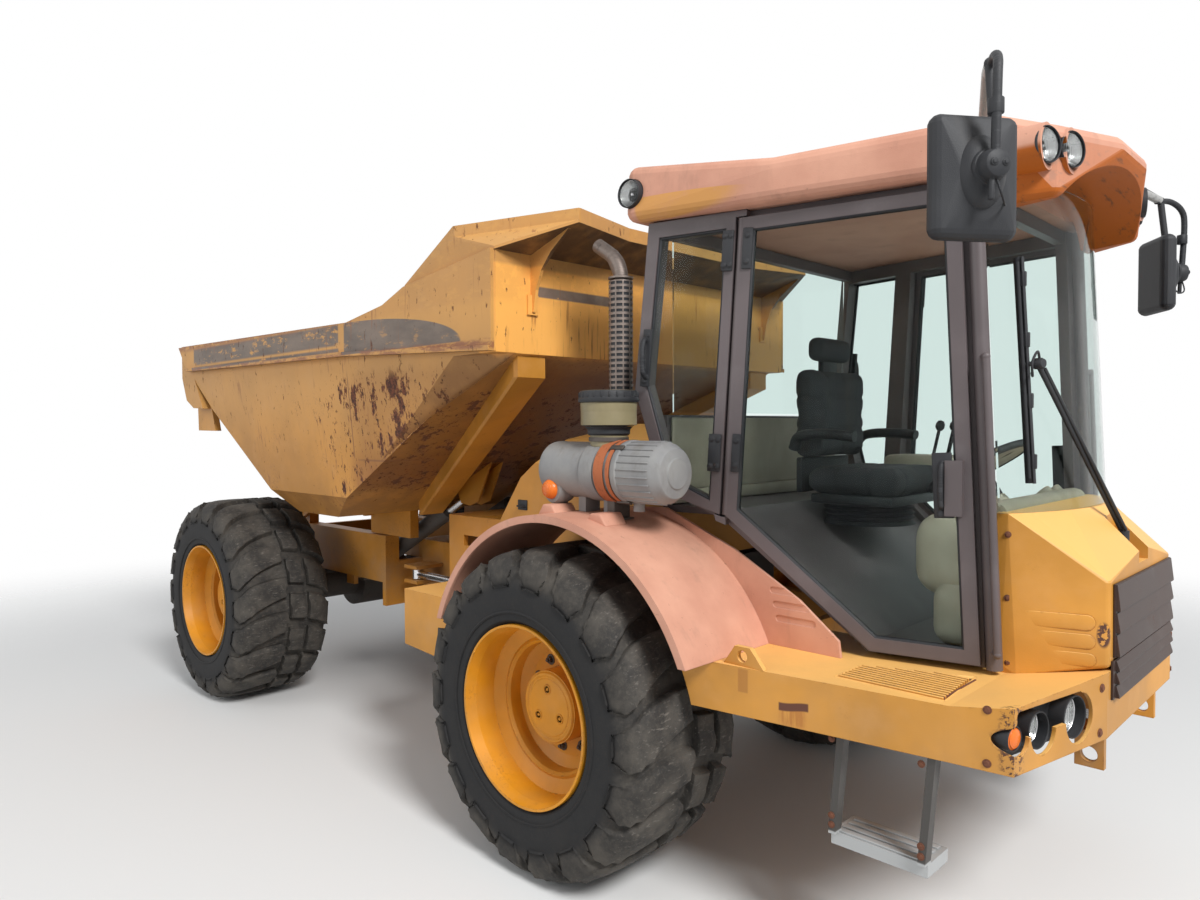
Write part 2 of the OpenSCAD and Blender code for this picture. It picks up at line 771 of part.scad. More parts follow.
// The raised band along the top of the sides.
module bed_band() {
  both()
    across([[-3930, 2305], [-1560, 2276], [-1190, 2332], [-1000, 2400], [-334, 2486],
            [-334, 2056], [-1556, 2104], [-3772, 2128]], bed_y - 1, bed_y + 24);
  // its turned lower edge
  both()
    across([[-3779, 2150], [-1556, 2126], [-334, 2078], [-334, 2056], [-1556, 2104],
            [-3772, 2128]], bed_y + 23, bed_y + 40);
}
// The box across the tail that stiffens the lip.
tail_box = [[rear_x + 6, 2300], [rear_x + 4, 2090], [-3856, 1930], [-3730, 1872],
            [-3560, 1866], [-3700, 2074], [-3768, 2126]];
module tail_lip() {
  difference() {
    union() {
      across(tail_box, -bed_y, bed_y);
      both() across([[-3800, 1900], [-3790, 1715], [-3490, 1712], [-3560, 1900]],
                    bed_y - 96, bed_y - 56);
    }
    across([[rear_x - 50, 2700], [rear_x + 22, 2400], [rear_x + 22, 2092], [-3845, 1945],
            [-3728, 1888], [-3590, 1884], [-3712, 2070], [-3600, 2240], [-3600, 2700]],
           -bed_y + 14, bed_y - 14);
  }
}

module dump_body() {
  color("gold") place() {
    difference() {
      bed_outline();
      // load space, open at the top
      intersection() {
        across(bed_inner, -1200, 1200);
        difference() {
          bed_section(bed_t);
          corner_cut(bed_t);
        }
      }
    }
    bed_band();
    tail_lip();
  }
}

module body_arms() {
  color("goldenrod") place() difference() {
    both() {
      // arms down to the hinge
      across([[-3500, 1080], [-3400, 1070], [-3150, 1180], [-2520, 1180], [-2520, 1240],
              [-3490, 1900]], 440, 470);
      // runners over the rails, and the plate that ties them to the arms
      block([-2530, 350, rear_rail_top + 6], [-2060, 410, 1230]);
      block([-2530, 350, 1150], [-2500, 470, 1230]);
      // ears beside a tipping rod
      for (y = [tip_y - 47, tip_y + 36])
        across([[-1760, 1420], [-1690, 1275], [-1600, 1262], [-1520, 1290], [-1380, 1560]], y, y + 11);
      // thick rib down the sloped front
      hull() {
        translate([-380, 800, 1950]) cube([30, 160, 100]);
        translate([-1900, 300, 1200]) cube([30, 150, 100]);
      }
    }
    bed_outline();
    both() axle(tip_x, tip_z, 400, 480, 30 + clear_r);
  }
}

// corners of the canopy: along X, across, up
can_low = [[-1008, 1096, 2404], [-334, 1096, 2489]];
can_top = [[-602, 1106, 2615], [-45, 880, 2634], [-148, 470, 2634]];

// depth of the turned edge around the plate
can_edge = [0, 0, 48];

module can_plate(a) {
  hull() for (q = a) translate(q) cube([12, 12, 12], center = true);
}
module canopy() {
  color("goldenrod") place() difference() {
    union() {
      both() {
        can_plate([can_low[0], can_top[0] - can_edge, can_low[1]]);
        can_plate([can_top[0] - can_edge, can_top[1] - can_edge, can_low[1]]);
        can_plate([can_top[1] - can_edge, can_top[2] - can_edge, can_low[1], [-334, 470, 2489]]);
        can_plate([can_low[0], can_top[0], can_top[0] - can_edge]);
        can_plate([can_top[0], can_top[1], can_top[0] - can_edge, can_top[1] - can_edge]);
        can_plate([can_top[1], can_top[2], can_top[1] - can_edge, can_top[2] - can_edge]);
        // curved gusset down the front wall, with a foot
        across([[-336, 2235], [-312, 2235], [-296, 2330], [-262, 2410], [-200, 2480],
                [-90, 2560], [-100, 2585], [-336, 2489]], 884, 900);
        block([-334, 862, 2222], [-322, 922, 2310]);
      }
      hull() both() for (q = [can_top[2] - can_edge, [-334, 470, 2489]])
        translate(q) cube([12, 12, 12], center = true);
      hull() both() for (q = [can_top[2], can_top[2] - can_edge])
        translate(q) cube([12, 12, 12], center = true);
    }
    bed_outline();
    bed_band();
  }
}

// Wheels

carcass_r = tyre_r - lug_h;
half_w = tyre_w / 2;
// half section of the carcass: radius, out from the middle of the tyre
carcass = [[rim_r + 62, half_w - 6], [carcass_r - 95, half_w - 8], [carcass_r, half_w - 88]];
// outline of a lug on the tread: out from the middle of the tyre, around it
lug_plan = [[8, -88], [half_w + 5, -50], [half_w + 5, 88], [8, -12]];
lug_side = 88;
// a lug is flat on top, and its corners reach the full radius
lug_top = sqrt(tyre_r * tyre_r - lug_side * lug_side);
// turns a corner straight down
lug_turn = atan(lug_side / lug_top);

// One lug, standing up from the wheel axis: out along X, around along Y.
module lug() {
  intersection() {
    upright(lug_plan, carcass_r - 150, lug_top);
    across([[0, carcass_r - 40], [half_w - 100, carcass_r - 40], [half_w - 12, carcass_r - 130],
            [half_w, lug_top - 44], [half_w - 32, lug_top], [0, lug_top]], -lug_side, lug_side);
  }
}

module tyre_shape() {
  // carcass of flat facets, with the seat for the rim
  difference() {
    hull() for (c = carcass)
      rotate([90, 0, 0]) cylinder(r = c[0], h = 2 * c[1], center = true, $fn = 24);
    rotate([90, 0, 0]) cylinder(r = rim_r, h = tyre_w + 20, center = true, $fn = 90);
  }
  for (s = [0, 1], i = [0:lug_n - 1])
    mirror([0, s, 0]) rotate([0, (i + s / 2) * 360 / lug_n + 180 + lug_turn, 0])
      rotate([0, 0, 90]) lug();
}

module ring(r0, r1, y0, y1) {
  rotate([-90, 0, 0]) translate([0, 0, y0]) difference() {
    cylinder(r = r1, h = y1 - y0, $fn = 90);
    translate([0, 0, -1]) cylinder(r = r0, h = y1 - y0 + 2, $fn = 90);
  }
}
module rim_shape() {
  // barrel with its outer lip
  rotate([-90, 0, 0]) translate([0, 0, tyre_y]) rotate_extrude($fn = 90)
    polygon([[rim_r, 25 - half_w], [rim_r, half_w - 12], [rim_r - 10, half_w - 12],
             [rim_r - 20, half_w - 60], [rim_r - 24, half_w - 150], [rim_r - 24, 25 - half_w]]);
  // shoulder, ridge and disc
  rotate([-90, 0, 0]) translate([0, 0, tyre_y]) rotate_extrude($fn = 90)
    polygon([[rim_r - 23, half_w - 150], [rim_r - 75, half_w - 176], [rim_r - 88, half_w - 168],
             [rim_r - 98, half_w - 182], [rim_r - 98, half_w - 235], [rim_r - 140, half_w - 262],
             [120, half_w - 262], [120, half_w - 286], [rim_r - 134, half_w - 286],
             [rim_r - 84, half_w - 255], [rim_r - 80, half_w - 205], [rim_r - 23, half_w - 180]]);
  // hub with its planet gear cover
  ring(spindle_r + clear_r, 148, 700, 1012);
  rotate([-90, 0, 0]) translate([0, 0, 1011]) cylinder(r = 146, h = 89, $fn = 72);
  ring(120, 205, tyre_y + half_w - 300, tyre_y + half_w - 285);
}

// Places a right wheel; side 1 mirrors it to the left.
module wheel_at(x, side) {
  place() translate([x, 0, hub_z]) mirror([0, 1 - side, 0]) children();
}
module tyre_at(x, side) {
  color("dimgray") wheel_at(x, side) translate([0, tyre_y, 0]) tyre_shape();
}
module tyre_front_right() { tyre_at(0, 0); }
module tyre_front_left() { tyre_at(0, 1); }
module tyre_rear_right() { tyre_at(rear_axle_x, 0); }
module tyre_rear_left() { tyre_at(rear_axle_x, 1); }
module rim_front_right() { color("gold") wheel_at(0, 0) rim_shape(); }
module rim_front_left() { color("gold") wheel_at(0, 1) rim_shape(); }
module rim_rear_right() { color("gold") wheel_at(rear_axle_x, 0) rim_shape(); }
module rim_rear_left() { color("gold") wheel_at(rear_axle_x, 1) rim_shape(); }

front_frame();
front_axle();
bumper_deck();
deck_treads();
lifting_eyes();
tow_eyes();
side_steps();
side_boxes();
fenders();
nose_cowl();
grille();
cab_frame();
cab_tub();
windshield();
cab_glass();
roof();
lamps();
seat();
console();
engine_block();
engine_hood();
air_cleaner();
pre_cleaner();
exhaust();
mirrors();
wiper();
door_right();
door_glass_right();
door_left();
door_glass_left();
steer_barrel_right();
steer_rod_right();
steer_barrel_left();
steer_rod_left();
rear_frame();
rear_axle();
tip_barrels();
tip_rods();
dump_body();
body_arms();
canopy();
tyre_front_right();
rim_front_right();
tyre_front_left();
rim_front_left();
tyre_rear_right();
rim_rear_right();
tyre_rear_left();
rim_rear_left();
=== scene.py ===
# %% [markdown]
# # An articulated dump truck, dressed for its picture
# The frame comes from the drawing: every rail, plate, wheel and joint is already in
# place. This notebook gives those solids their finishes, adds the small things that
# only the eye needs, and lights them on a pale floor.

# %% Load the frame
import bpy
import bmesh
import json
import math
from mathutils import Matrix, Vector, noise


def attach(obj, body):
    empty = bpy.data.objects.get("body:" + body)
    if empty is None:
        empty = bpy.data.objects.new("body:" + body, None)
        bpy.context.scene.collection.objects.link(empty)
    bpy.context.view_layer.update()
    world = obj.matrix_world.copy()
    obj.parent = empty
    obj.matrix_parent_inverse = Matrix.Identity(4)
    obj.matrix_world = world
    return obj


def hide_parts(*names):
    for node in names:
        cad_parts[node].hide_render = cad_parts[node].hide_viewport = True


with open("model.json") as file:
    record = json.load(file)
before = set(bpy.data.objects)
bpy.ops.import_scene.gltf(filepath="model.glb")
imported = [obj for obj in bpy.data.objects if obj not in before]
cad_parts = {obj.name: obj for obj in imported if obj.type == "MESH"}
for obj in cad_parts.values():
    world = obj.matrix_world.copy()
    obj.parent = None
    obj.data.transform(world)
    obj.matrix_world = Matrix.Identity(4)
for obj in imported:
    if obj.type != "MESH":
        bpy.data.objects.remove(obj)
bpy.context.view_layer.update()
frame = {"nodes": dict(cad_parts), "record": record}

# %% [markdown]
# The drawing measures lengths in millimetres from the front wheel axis, and heights from
# the ground under the pressed tyre. Places are written the same way here, so that a piece
# can be checked against the drawing, and these helpers turn them into metres.

# %% Places as the drawing writes them
AHEAD, LIFT = 1.060, 0.032
FRONT_AXLE, REAR_AXLE, AXLE_HEIGHT = 0, -3190, 613


def at_x(x):
    return x / 1000 + AHEAD


def at_z(z):
    return z / 1000 + LIFT


def spot(x, y, z):
    return Vector((at_x(x), y / 1000, at_z(z)))


def mm(*values):
    return Vector(values) / 1000


def turn(degrees, axis="Z"):
    return Matrix.Rotation(math.radians(degrees), 4, axis)


def shift(vector):
    return Matrix.Translation(vector)


def mirror(side=-1):
    """Mirrors across the middle of the vehicle, or leaves as it is for side 1."""
    return Matrix.Scale(side, 4, (0, 1, 0))


print("steering pin at", tuple(round(c, 3) for c in spot(-1950, 0, 780)))

# %% [markdown]
# ## Camera
# The photograph was taken by a standing person close to the right front corner. A short
# lens from close by spreads the near tyre and the cab, so the distance matters as much as
# the angle. The camera's axes are written as a matrix: right, up, and backwards.

# %% Camera at the photograph's place
def make_camera():
    data = bpy.data.cameras.new("camera")
    data.sensor_width = 36.0
    data.lens = 848.6 / 1200 * 36.0
    data.clip_end = 200
    camera = bpy.data.objects.new("camera", data)
    bpy.context.collection.objects.link(camera)
    yaw, dip = math.radians(134.562), math.radians(1.6413)
    look = Vector((math.cos(yaw) * math.cos(dip), math.sin(yaw) * math.cos(dip), -math.sin(dip)))
    right = Vector((math.sin(yaw), -math.cos(yaw), 0))
    axes = Matrix((right, right.cross(look), -look)).transposed().to_4x4()
    camera.matrix_world = shift(spot(2504.6, -3350, 1737.1)) @ axes @ turn(-0.2342)
    bpy.context.scene.camera = camera
    print("camera", tuple(round(c, 3) for c in camera.location))


make_camera()

# %% [markdown]
# ## Light and floor
# An overcast sky lights everything evenly, so most of the light is the world's, and one
# large soft lamp from the front right gives the planes their different tones. The
# background is white to the camera, to mirrors and through glass only, which keeps it
# from adding light to the paint.

# %% World, lamps and floor
def make_world():
    world = bpy.data.worlds.new("sky")
    bpy.context.scene.world = world
    world.use_nodes = True
    tree = world.node_tree
    tree.nodes.clear()
    mix = tree.nodes.new("ShaderNodeMixShader")
    for place, colour, strength in ((1, (0.93, 0.96, 1.0, 1), 0.40), (2, (1, 1, 1, 1), 1.0)):
        sky = tree.nodes.new("ShaderNodeBackground")
        sky.inputs["Color"].default_value = colour
        sky.inputs["Strength"].default_value = strength
        tree.links.new(sky.outputs[0], mix.inputs[place])
    rays = tree.nodes.new("ShaderNodeLightPath")
    seen = rays.outputs["Is Camera Ray"]
    for name in ("Is Glossy Ray", "Is Transmission Ray"):
        more = tree.nodes.new("ShaderNodeMath")
        more.operation = "MAXIMUM"
        tree.links.new(seen, more.inputs[0])
        tree.links.new(rays.outputs[name], more.inputs[1])
        seen = more.outputs[0]
    tree.links.new(seen, mix.inputs[0])
    out = tree.nodes.new("ShaderNodeOutputWorld")
    tree.links.new(mix.outputs[0], out.inputs["Surface"])


def make_lamp(name, place, size, watts):
    data = bpy.data.lights.new(name, "AREA")
    data.shape = "DISK"
    data.size = size
    data.energy = watts
    lamp = bpy.data.objects.new(name, data)
    bpy.context.collection.objects.link(lamp)
    lamp.location = place
    lamp.rotation_euler = (Vector((0, 0, 1)) - Vector(place)).to_track_quat("-Z", "Y").to_euler()


def make_floor():
    bm = bmesh.new()
    bmesh.ops.create_grid(bm, x_segments=1, y_segments=1, size=60)
    mesh = bpy.data.meshes.new("floor")
    bm.to_mesh(mesh)
    bm.free()
    floor = bpy.data.objects.new("floor", mesh)
    bpy.context.collection.objects.link(floor)
    stone = bpy.data.materials.new("floor_pale")
    stone.use_nodes = True
    tree = stone.node_tree
    shader = tree.nodes["Principled BSDF"]
    shader.inputs["Base Color"].default_value = (0.80, 0.80, 0.79, 1)
    shader.inputs["Roughness"].default_value = 0.9
    # the floor fades out far from the truck, so that no horizon cuts the background
    place = tree.nodes.new("ShaderNodeTexCoord")
    reach = tree.nodes.new("ShaderNodeVectorMath")
    reach.operation = "LENGTH"
    fade = tree.nodes.new("ShaderNodeMapRange")
    fade.interpolation_type = "SMOOTHSTEP"
    for socket, value in (("From Min", 4.0), ("From Max", 9.0), ("To Min", 1.0), ("To Max", 0.0)):
        fade.inputs[socket].default_value = value
    tree.links.new(place.outputs["Object"], reach.inputs[0])
    tree.links.new(reach.outputs["Value"], fade.inputs["Value"])
    tree.links.new(fade.outputs["Result"], shader.inputs["Alpha"])
    mesh.materials.append(stone)


make_world()
make_lamp("key", (11, -4, 10), 4, 1900)
make_lamp("fill", (-4, -10, 5), 6, 260)
make_floor()
bpy.context.scene.view_settings.view_transform = "Standard"

# %% [markdown]
# ## Finishes as sums
# A worn finish is a base colour with masks over it: dust, rust, chips, streaks. Each mask
# is a little arithmetic on noise and position. The class below lets that arithmetic be
# written as Python sums, and adds the Math nodes behind the scenes.

# %% A value that takes part in sums
class Value:
    """The output of a node, ready for sums."""

    def __init__(self, tree, socket):
        self.tree = tree
        self.socket = socket

    def math(self, kind, *others, first=None, clamp=False):
        node = self.tree.nodes.new("ShaderNodeMath")
        node.operation = kind
        node.use_clamp = clamp
        parts = (self, *others) if first is None else (first, self)
        for place, part in zip(node.inputs, parts):
            if isinstance(part, Value):
                self.tree.links.new(part.socket, place)
            else:
                place.default_value = part
        return Value(self.tree, node.outputs[0])

    def __add__(self, other):
        return self.math("ADD", other)

    __radd__ = __add__

    def __sub__(self, other):
        return self.math("SUBTRACT", other)

    def __rsub__(self, other):
        return self.math("SUBTRACT", first=other)

    def __mul__(self, other):
        return self.math("MULTIPLY", other)

    def __truediv__(self, other):
        return self.math("DIVIDE", other)

    def __abs__(self):
        return self.math("ABSOLUTE")

    def clamp(self):
        return self.math("ADD", 0.0, clamp=True)

    def most(self, other):
        return self.math("MAXIMUM", other)

    def least(self, other):
        return self.math("MINIMUM", other)


print("sums ready")

# %% [markdown]
# A finish starts from the principled shader. `node` adds any other kind of node: its
# settings come first, then the values or links of its sockets. `noise`, `ramp` and `mix`
# are the three shapes that nearly every mask needs, and `coat` lays one more colour over
# the tone so far.

# %% A finish and its nodes
class Finish:
    """One material, built up from masks."""

    def __init__(self, name, fixed=(), slot=None):
        drawn = bpy.data.materials.get(name)
        if drawn:
            drawn.name = name + "_drawn"
        self.slot = slot or name
        self.material = bpy.data.materials.new(name)
        self.material.use_nodes = True
        self.tree = self.material.node_tree
        self.shader = self.tree.nodes["Principled BSDF"]
        for socket, value in dict(fixed).items():
            self.shader.inputs[socket].default_value = value
        self.place = self.node("TexCoord", {}, {}, "Object")

    def join(self, part, socket):
        """Links a value to a socket, or writes a number or colour there."""
        if isinstance(part, Value):
            self.tree.links.new(part.socket, socket)
        elif socket.type == "RGBA":
            socket.default_value = (*part, 1)
        else:
            socket.default_value = part

    def node(self, kind, settings, sockets, out=0):
        node = self.tree.nodes.new("ShaderNode" + kind)
        for name, value in settings.items():
            setattr(node, name, value)
        for name, value in sockets.items():
            self.join(value, node.inputs[name])
        return Value(self.tree, node.outputs[out])

    def noise(self, size, detail=3.0, rough=0.55, stretch=(1, 1, 1), seed=0.0):
        """Cloudy noise; size is that of its patches in metres, stretch lengthens them."""
        spread = self.node("Mapping", {}, {
            "Vector": self.place, "Scale": tuple(1 / (size * s) for s in stretch),
            "Location": (seed, seed * 0.7, seed * 1.3)})
        return self.node("TexNoise", {}, {
            "Vector": spread, "Scale": 1.0, "Detail": detail, "Roughness": rough}, "Fac")

    def ramp(self, value, low, high, start=0.0, end=1.0):
        """A smooth step of value between low and high."""
        return self.node("MapRange", {"interpolation_type": "SMOOTHSTEP"}, {
            "Value": value, "From Min": low, "From Max": high,
            "To Min": start, "To Max": end}, "Result")

    def fall(self, value, low, high):
        return self.ramp(value, low, high, 1.0, 0.0)

    def cloud(self, low, high, *noise_settings, **more):
        """A smooth step of noise between low and high."""
        return self.ramp(self.noise(*noise_settings, **more), low, high)

    def mix(self, share, first, second):
        """A colour between two, by share."""
        return self.node("Mix", {"data_type": "RGBA"}, {0: share, 6: first, 7: second}, 2)

    def coat(self, share, colour):
        """Lays a colour over the tone where share is 1."""
        self.tone = self.mix(share.clamp(), self.tone, colour)

    def axis(self, name):
        """Position along X, Y or Z in metres."""
        return self.node("SeparateXYZ", {}, {"Vector": self.place}, name)

    def facing(self):
        """How far the face looks up, from -1 to 1."""
        normal = self.node("NewGeometry", {}, {}, "Normal")
        return self.node("SeparateXYZ", {}, {"Vector": normal}, "Z")

    def within(self, centre, size, soft):
        """1 inside an ellipsoid round centre, fading over soft of its size."""
        gap = self.node("VectorMath", {"operation": "SUBTRACT"}, {0: self.place, 1: centre})
        unit = self.node("VectorMath", {"operation": "DIVIDE"}, {0: gap, 1: size})
        reach = self.node("VectorMath", {"operation": "LENGTH"}, {0: unit}, "Value")
        return self.fall(reach, 1.0 - soft, 1.0)

    def box(self, low, high, soft):
        """1 between two places of the drawing, fading over soft metres."""
        share = None
        for name, a, b in zip("XYZ", spot(*low), spot(*high)):
            here = self.axis(name)
            inner = self.ramp(here, a - soft, a + soft) * self.fall(here, b - soft, b + soft)
            share = inner if share is None else share * inner
        return share

    def edges(self, width):
        """1 near an edge: where the rounded normal leaves the flat one."""
        soft = self.node("Bevel", {"samples": 4}, {"Radius": width}, "Normal")
        flat = self.node("NewGeometry", {}, {}, "Normal")
        same = self.node("VectorMath", {"operation": "DOT_PRODUCT"}, {0: soft, 1: flat}, "Value")
        return self.fall(same, 0.70, 0.995)

    def relief(self, height, depth, radius):
        """Bumps of that depth in metres, on edges rounded by radius."""
        soft = self.node("Bevel", {"samples": 4}, {"Radius": radius}, "Normal")
        self.set("Normal", self.node("Bump", {}, {
            "Height": height, "Strength": 1.0, "Distance": depth, "Normal": soft}, "Normal"))

    def set(self, socket, value):
        self.join(value, self.shader.inputs[socket])


print("finishes ready")

# %% [markdown]
# ## Painted steel
# The yellow-orange paint has stood outdoors for years. It has lost its gloss in clouds,
# rust has come up at edges and run down from them, and grit has left brown specks. The
# same recipe serves the bumper, the frame and the tipping body, with more or less of each.

# %% Painted steel
RUST = (0.135, 0.042, 0.014)
PAINTED_TOP_LIGHT = (0.95, 0.54, 0.165)
DUST = (0.26, 0.20, 0.14)


def painted(name, colour, rust, dust, chips, top_light=0.0):
    paint = Finish(name, {"Specular IOR Level": 0.42})
    pale = tuple(min(1.0, c * 0.86 + 0.07) for c in colour)
    deep = tuple(c * 0.72 for c in colour)
    clouds = paint.noise(0.55, 4)
    paint.tone = paint.mix(paint.ramp(clouds, 0.35, 0.68), deep, colour)
    paint.coat(paint.cloud(0.5, 0.8, 0.16, 5, seed=3) * 0.35, pale)
    # faces that look up get painted light from above, paler the more they face the sky
    if top_light:
        paint.coat(paint.ramp(paint.facing(), 0.05, 0.9) * top_light, PAINTED_TOP_LIGHT)
    # fine brown specks, thick where the clouds of rust are
    patches = paint.cloud(0.62 - 0.22 * rust, 0.86 - 0.20 * rust, 0.30, 5, 0.62, seed=7)
    specks = paint.cloud(0.50, 0.66, 0.012, 4, 0.7, seed=11)
    streaks = paint.cloud(0.55, 0.80, 0.045, 4, 0.6, (1, 1, 9), 5)
    worn = (patches * specks * (0.5 + rust)).clamp()
    run = (streaks * paint.ramp(clouds, 0.45, 0.62) * (0.75 * rust)).clamp()
    edge = paint.edges(0.010) * paint.cloud(0.50, 0.66, 0.035, 4, 0.7, seed=2)
    paint.bare = worn.most(run).most(edge * chips).clamp()
    paint.coat(paint.bare, RUST)
    # dust lies lowest, where the wheels throw it
    low = paint.fall(paint.axis("Z"), 0.55, 1.35)
    film = (low * paint.cloud(0.35, 0.75, 0.22, 5, seed=9) * dust).clamp()
    paint.coat(film, DUST)
    paint.set("Base Color", paint.tone)
    paint.set("Roughness", (0.42 + clouds * 0.12 + paint.bare * 0.35 + film * 0.25).clamp())
    paint.relief(paint.bare * -0.6 + paint.noise(0.004, 2) * 0.25, 0.0012, 0.003)
    return paint


yellow = painted("yellow_paint", (0.66, 0.300, 0.046), 0.10, 0.25, 0.6, 0.8)
painted("frame_paint", (0.60, 0.255, 0.028), 0.35, 0.65, 0.8, 0.3)
body_yellow = painted("body_paint", (0.60, 0.270, 0.045), 0.30, 0.2, 0.9, 0.3)
rim_yellow = painted("rim_paint", (0.76, 0.31, 0.010), 0.32, 0.20, 0.9)
painted("cab_paint", (0.120, 0.098, 0.100), 0.05, 0.15, 0.3)
grille_brown = painted("grille_paint", (0.040, 0.018, 0.012), 0.15, 0.03, 0.4)
print("paints", len(bpy.data.materials))

# %% [markdown]
# The tipping body has its own history. Stones have knocked ragged flakes off around the
# lower front corner, and dark runs hang under them. Two worn grey stripes lie on the raised
# band and a third on the front wall, and rust creeps down from the top edges. Painted shade
# darkens the lower front and the faces under the canopy, and painted light brightens the
# front wall.

# %% Wear, painted shade and painted light of the tipping body
def flakes(paint, weight, size, low, seed):
    """Ragged flakes of bare steel where weight is 1, none where it is 0."""
    grain = paint.noise(size, 6, 0.72, (1, 1, 2), seed)
    return paint.ramp(grain + weight * 0.17, low + 0.17, low + 0.19)


def stripes(paint, along, height, side):
    """Grey stripes, their paint cracked and rubbed off in places."""
    rubbed = paint.cloud(0.34, 0.44, 0.05, 6, 0.7, (2.5, 1, 1), 21)
    worn = paint.cloud(0.36, 0.44, 0.070, 6, 0.75, (2.5, 1, 1), 27)
    rear = paint.box((-3640, -1200, 2165), (-1625, 1200, 2275), 0.008)
    rear_low = paint.box((-3640, -1200, 2130), (-1625, 1200, 2150), 0.006)
    u, v = (along - at_x(-1560)) / 1.02, (height - at_z(2112)) / 0.165
    half_ellipse = paint.fall(u * u + v * v, 0.97, 1.0)
    half_ellipse = half_ellipse * paint.ramp(v, -0.04, 0.0) * paint.ramp(u, -0.01, 0.0)
    wall = paint.box((-345, -878, 2306), (-325, -240, 2352), 0.004)
    wall = wall * paint.cloud(0.30, 0.36, 0.03, 5, 0.7, seed=25)
    band = (rear * worn * rubbed).most(rear_low * worn)
    band = band.most(half_ellipse * (0.55 + rubbed * 0.45))
    return (band * paint.ramp(side, 1.089, 1.091)).most(wall)


def tip_wear_and_painted_light(paint):
    height, along, side = paint.axis("Z"), paint.axis("X"), abs(paint.axis("Y"))
    off_x = (along - at_x(-1250)) / 0.95
    off_z = (height - at_z(1650)) / 0.62
    near = paint.fall(off_x * off_x + off_z * off_z, 0.25, 1.25)
    under = paint.fall(height, at_z(1960), at_z(2050))
    fore = paint.ramp(along, at_x(-1700), at_x(-1450))
    # paler towards the top; below the crease, painted shade in deeper orange on the lower front
    paint.coat(paint.ramp(height, 1.55, 2.05) * 0.45, (0.62, 0.35, 0.130))
    shade = under * fore * paint.ramp(side, 0.55, 1.0, 1.0, 0.35)
    paint.coat(shade * 0.8, (0.24, 0.080, 0.006))
    # painted shade in deeper orange on the lower front corner, forward of and below the seam
    patch = paint.ramp(along, at_x(-1720), at_x(-1600)) * paint.fall(height, at_z(1500), at_z(1640))
    paint.coat(patch * 0.6, (0.27, 0.092, 0.010))
    # painted light on the upright front wall, lifting it out of the canopy's shadow
    paint.coat(paint.box((-450, -1100, 2040), (-250, 1100, 2430), 0.01) * 0.75, (0.95, 0.45, 0.095))
    film = paint.mix(paint.cloud(0.3, 0.7, 0.11, 5, 0.6, (3, 1, 1), 29),
                     (0.115, 0.088, 0.070), (0.20, 0.15, 0.115))
    paint.coat(stripes(paint, along, height, side), film)
    # flakes, runs and creeping edges
    big = flakes(paint, near, 0.095, 0.560, 31)
    small = flakes(paint, near, 0.034, 0.590, 33)
    specks = paint.cloud(0.635, 0.655, 0.026, 6, 0.7, (1, 1, 3), 35)
    bare = (big.most(small) * under).most(specks * 0.8)
    runs = paint.cloud(0.57, 0.66, 0.020, 4, 0.6, (1, 1, 16), 37)
    runs = runs * paint.cloud(0.48, 0.62, 0.35, 3, seed=38)
    creep = paint.ramp(height, at_z(2250), at_z(2300))
    creep = creep * paint.ramp(along, at_x(-1900), at_x(-1300), 1.0, 0.15)
    creep = creep * paint.cloud(0.36, 0.50, 0.05, 5, 0.7, (2.5, 1, 1), 39)
    lip = abs(height - at_z(2128) + (along - at_x(-3772)) * 0.012)
    lip = paint.fall(lip, 0.012, 0.03) * paint.ramp(side, 1.10, 1.105)
    lip = lip * paint.cloud(0.42, 0.58, 0.06, 5, 0.7, (3, 1, 1), 41)
    paint.coat(runs * 0.65, (0.24, 0.075, 0.020))
    paint.coat(creep.most(lip) * 0.85, (0.24, 0.090, 0.045))
    paint.coat(bare, paint.mix(paint.cloud(0.4, 0.6, 0.02, 5, 0.7, seed=43),
                               (0.050, 0.018, 0.010), (0.16, 0.050, 0.022)))
    halo = flakes(paint, near, 0.095, 0.535, 31) * under - big
    paint.coat(halo * 0.35, (0.30, 0.10, 0.025))
    # faces that look down get painted shade with some dirt, and under the canopy a darker painted
    # shadow
    below = paint.fall(paint.facing(), -0.62, -0.12)
    hood = paint.ramp(height, at_z(2380), at_z(2440)) * below
    grime_and_shade = paint.ramp(paint.noise(0.13, 5, 0.6, seed=45), 0.30, 0.62, 0.55, 1.0)
    paint.coat(below * 0.55 * grime_and_shade, (0.13, 0.050, 0.014))
    paint.coat(hood * 0.90 * grime_and_shade, (0.050, 0.028, 0.019))
    # the edge of a welded patch, down the side and forward
    seam_x, seam_z = at_x(-1600), at_z(1560)
    down = paint.fall(abs(along - seam_x + (height - 2.0) * -0.06), 0.003, 0.007)
    down = down * paint.ramp(height, seam_z, seam_z + 0.02)
    out = paint.fall(abs(height - seam_z), 0.003, 0.007)
    out = out * paint.ramp(along, seam_x, seam_x + 0.02) * fore
    seam = down.most(out) * under * paint.ramp(side, 0.70, 0.75)
    paint.coat(seam * 0.75, (0.20, 0.075, 0.018))
    paint.set("Base Color", paint.tone)
    paint.set("Roughness", (0.45 + bare * 0.35 + paint.noise(0.3, 3) * 0.1).clamp())
    paint.relief(bare * -0.8 + paint.bare * -0.4 + paint.noise(0.02, 4) * 0.3, 0.0016, 0.003)


tip_wear_and_painted_light(body_yellow)
print("wear nodes", len(body_yellow.tree.nodes))

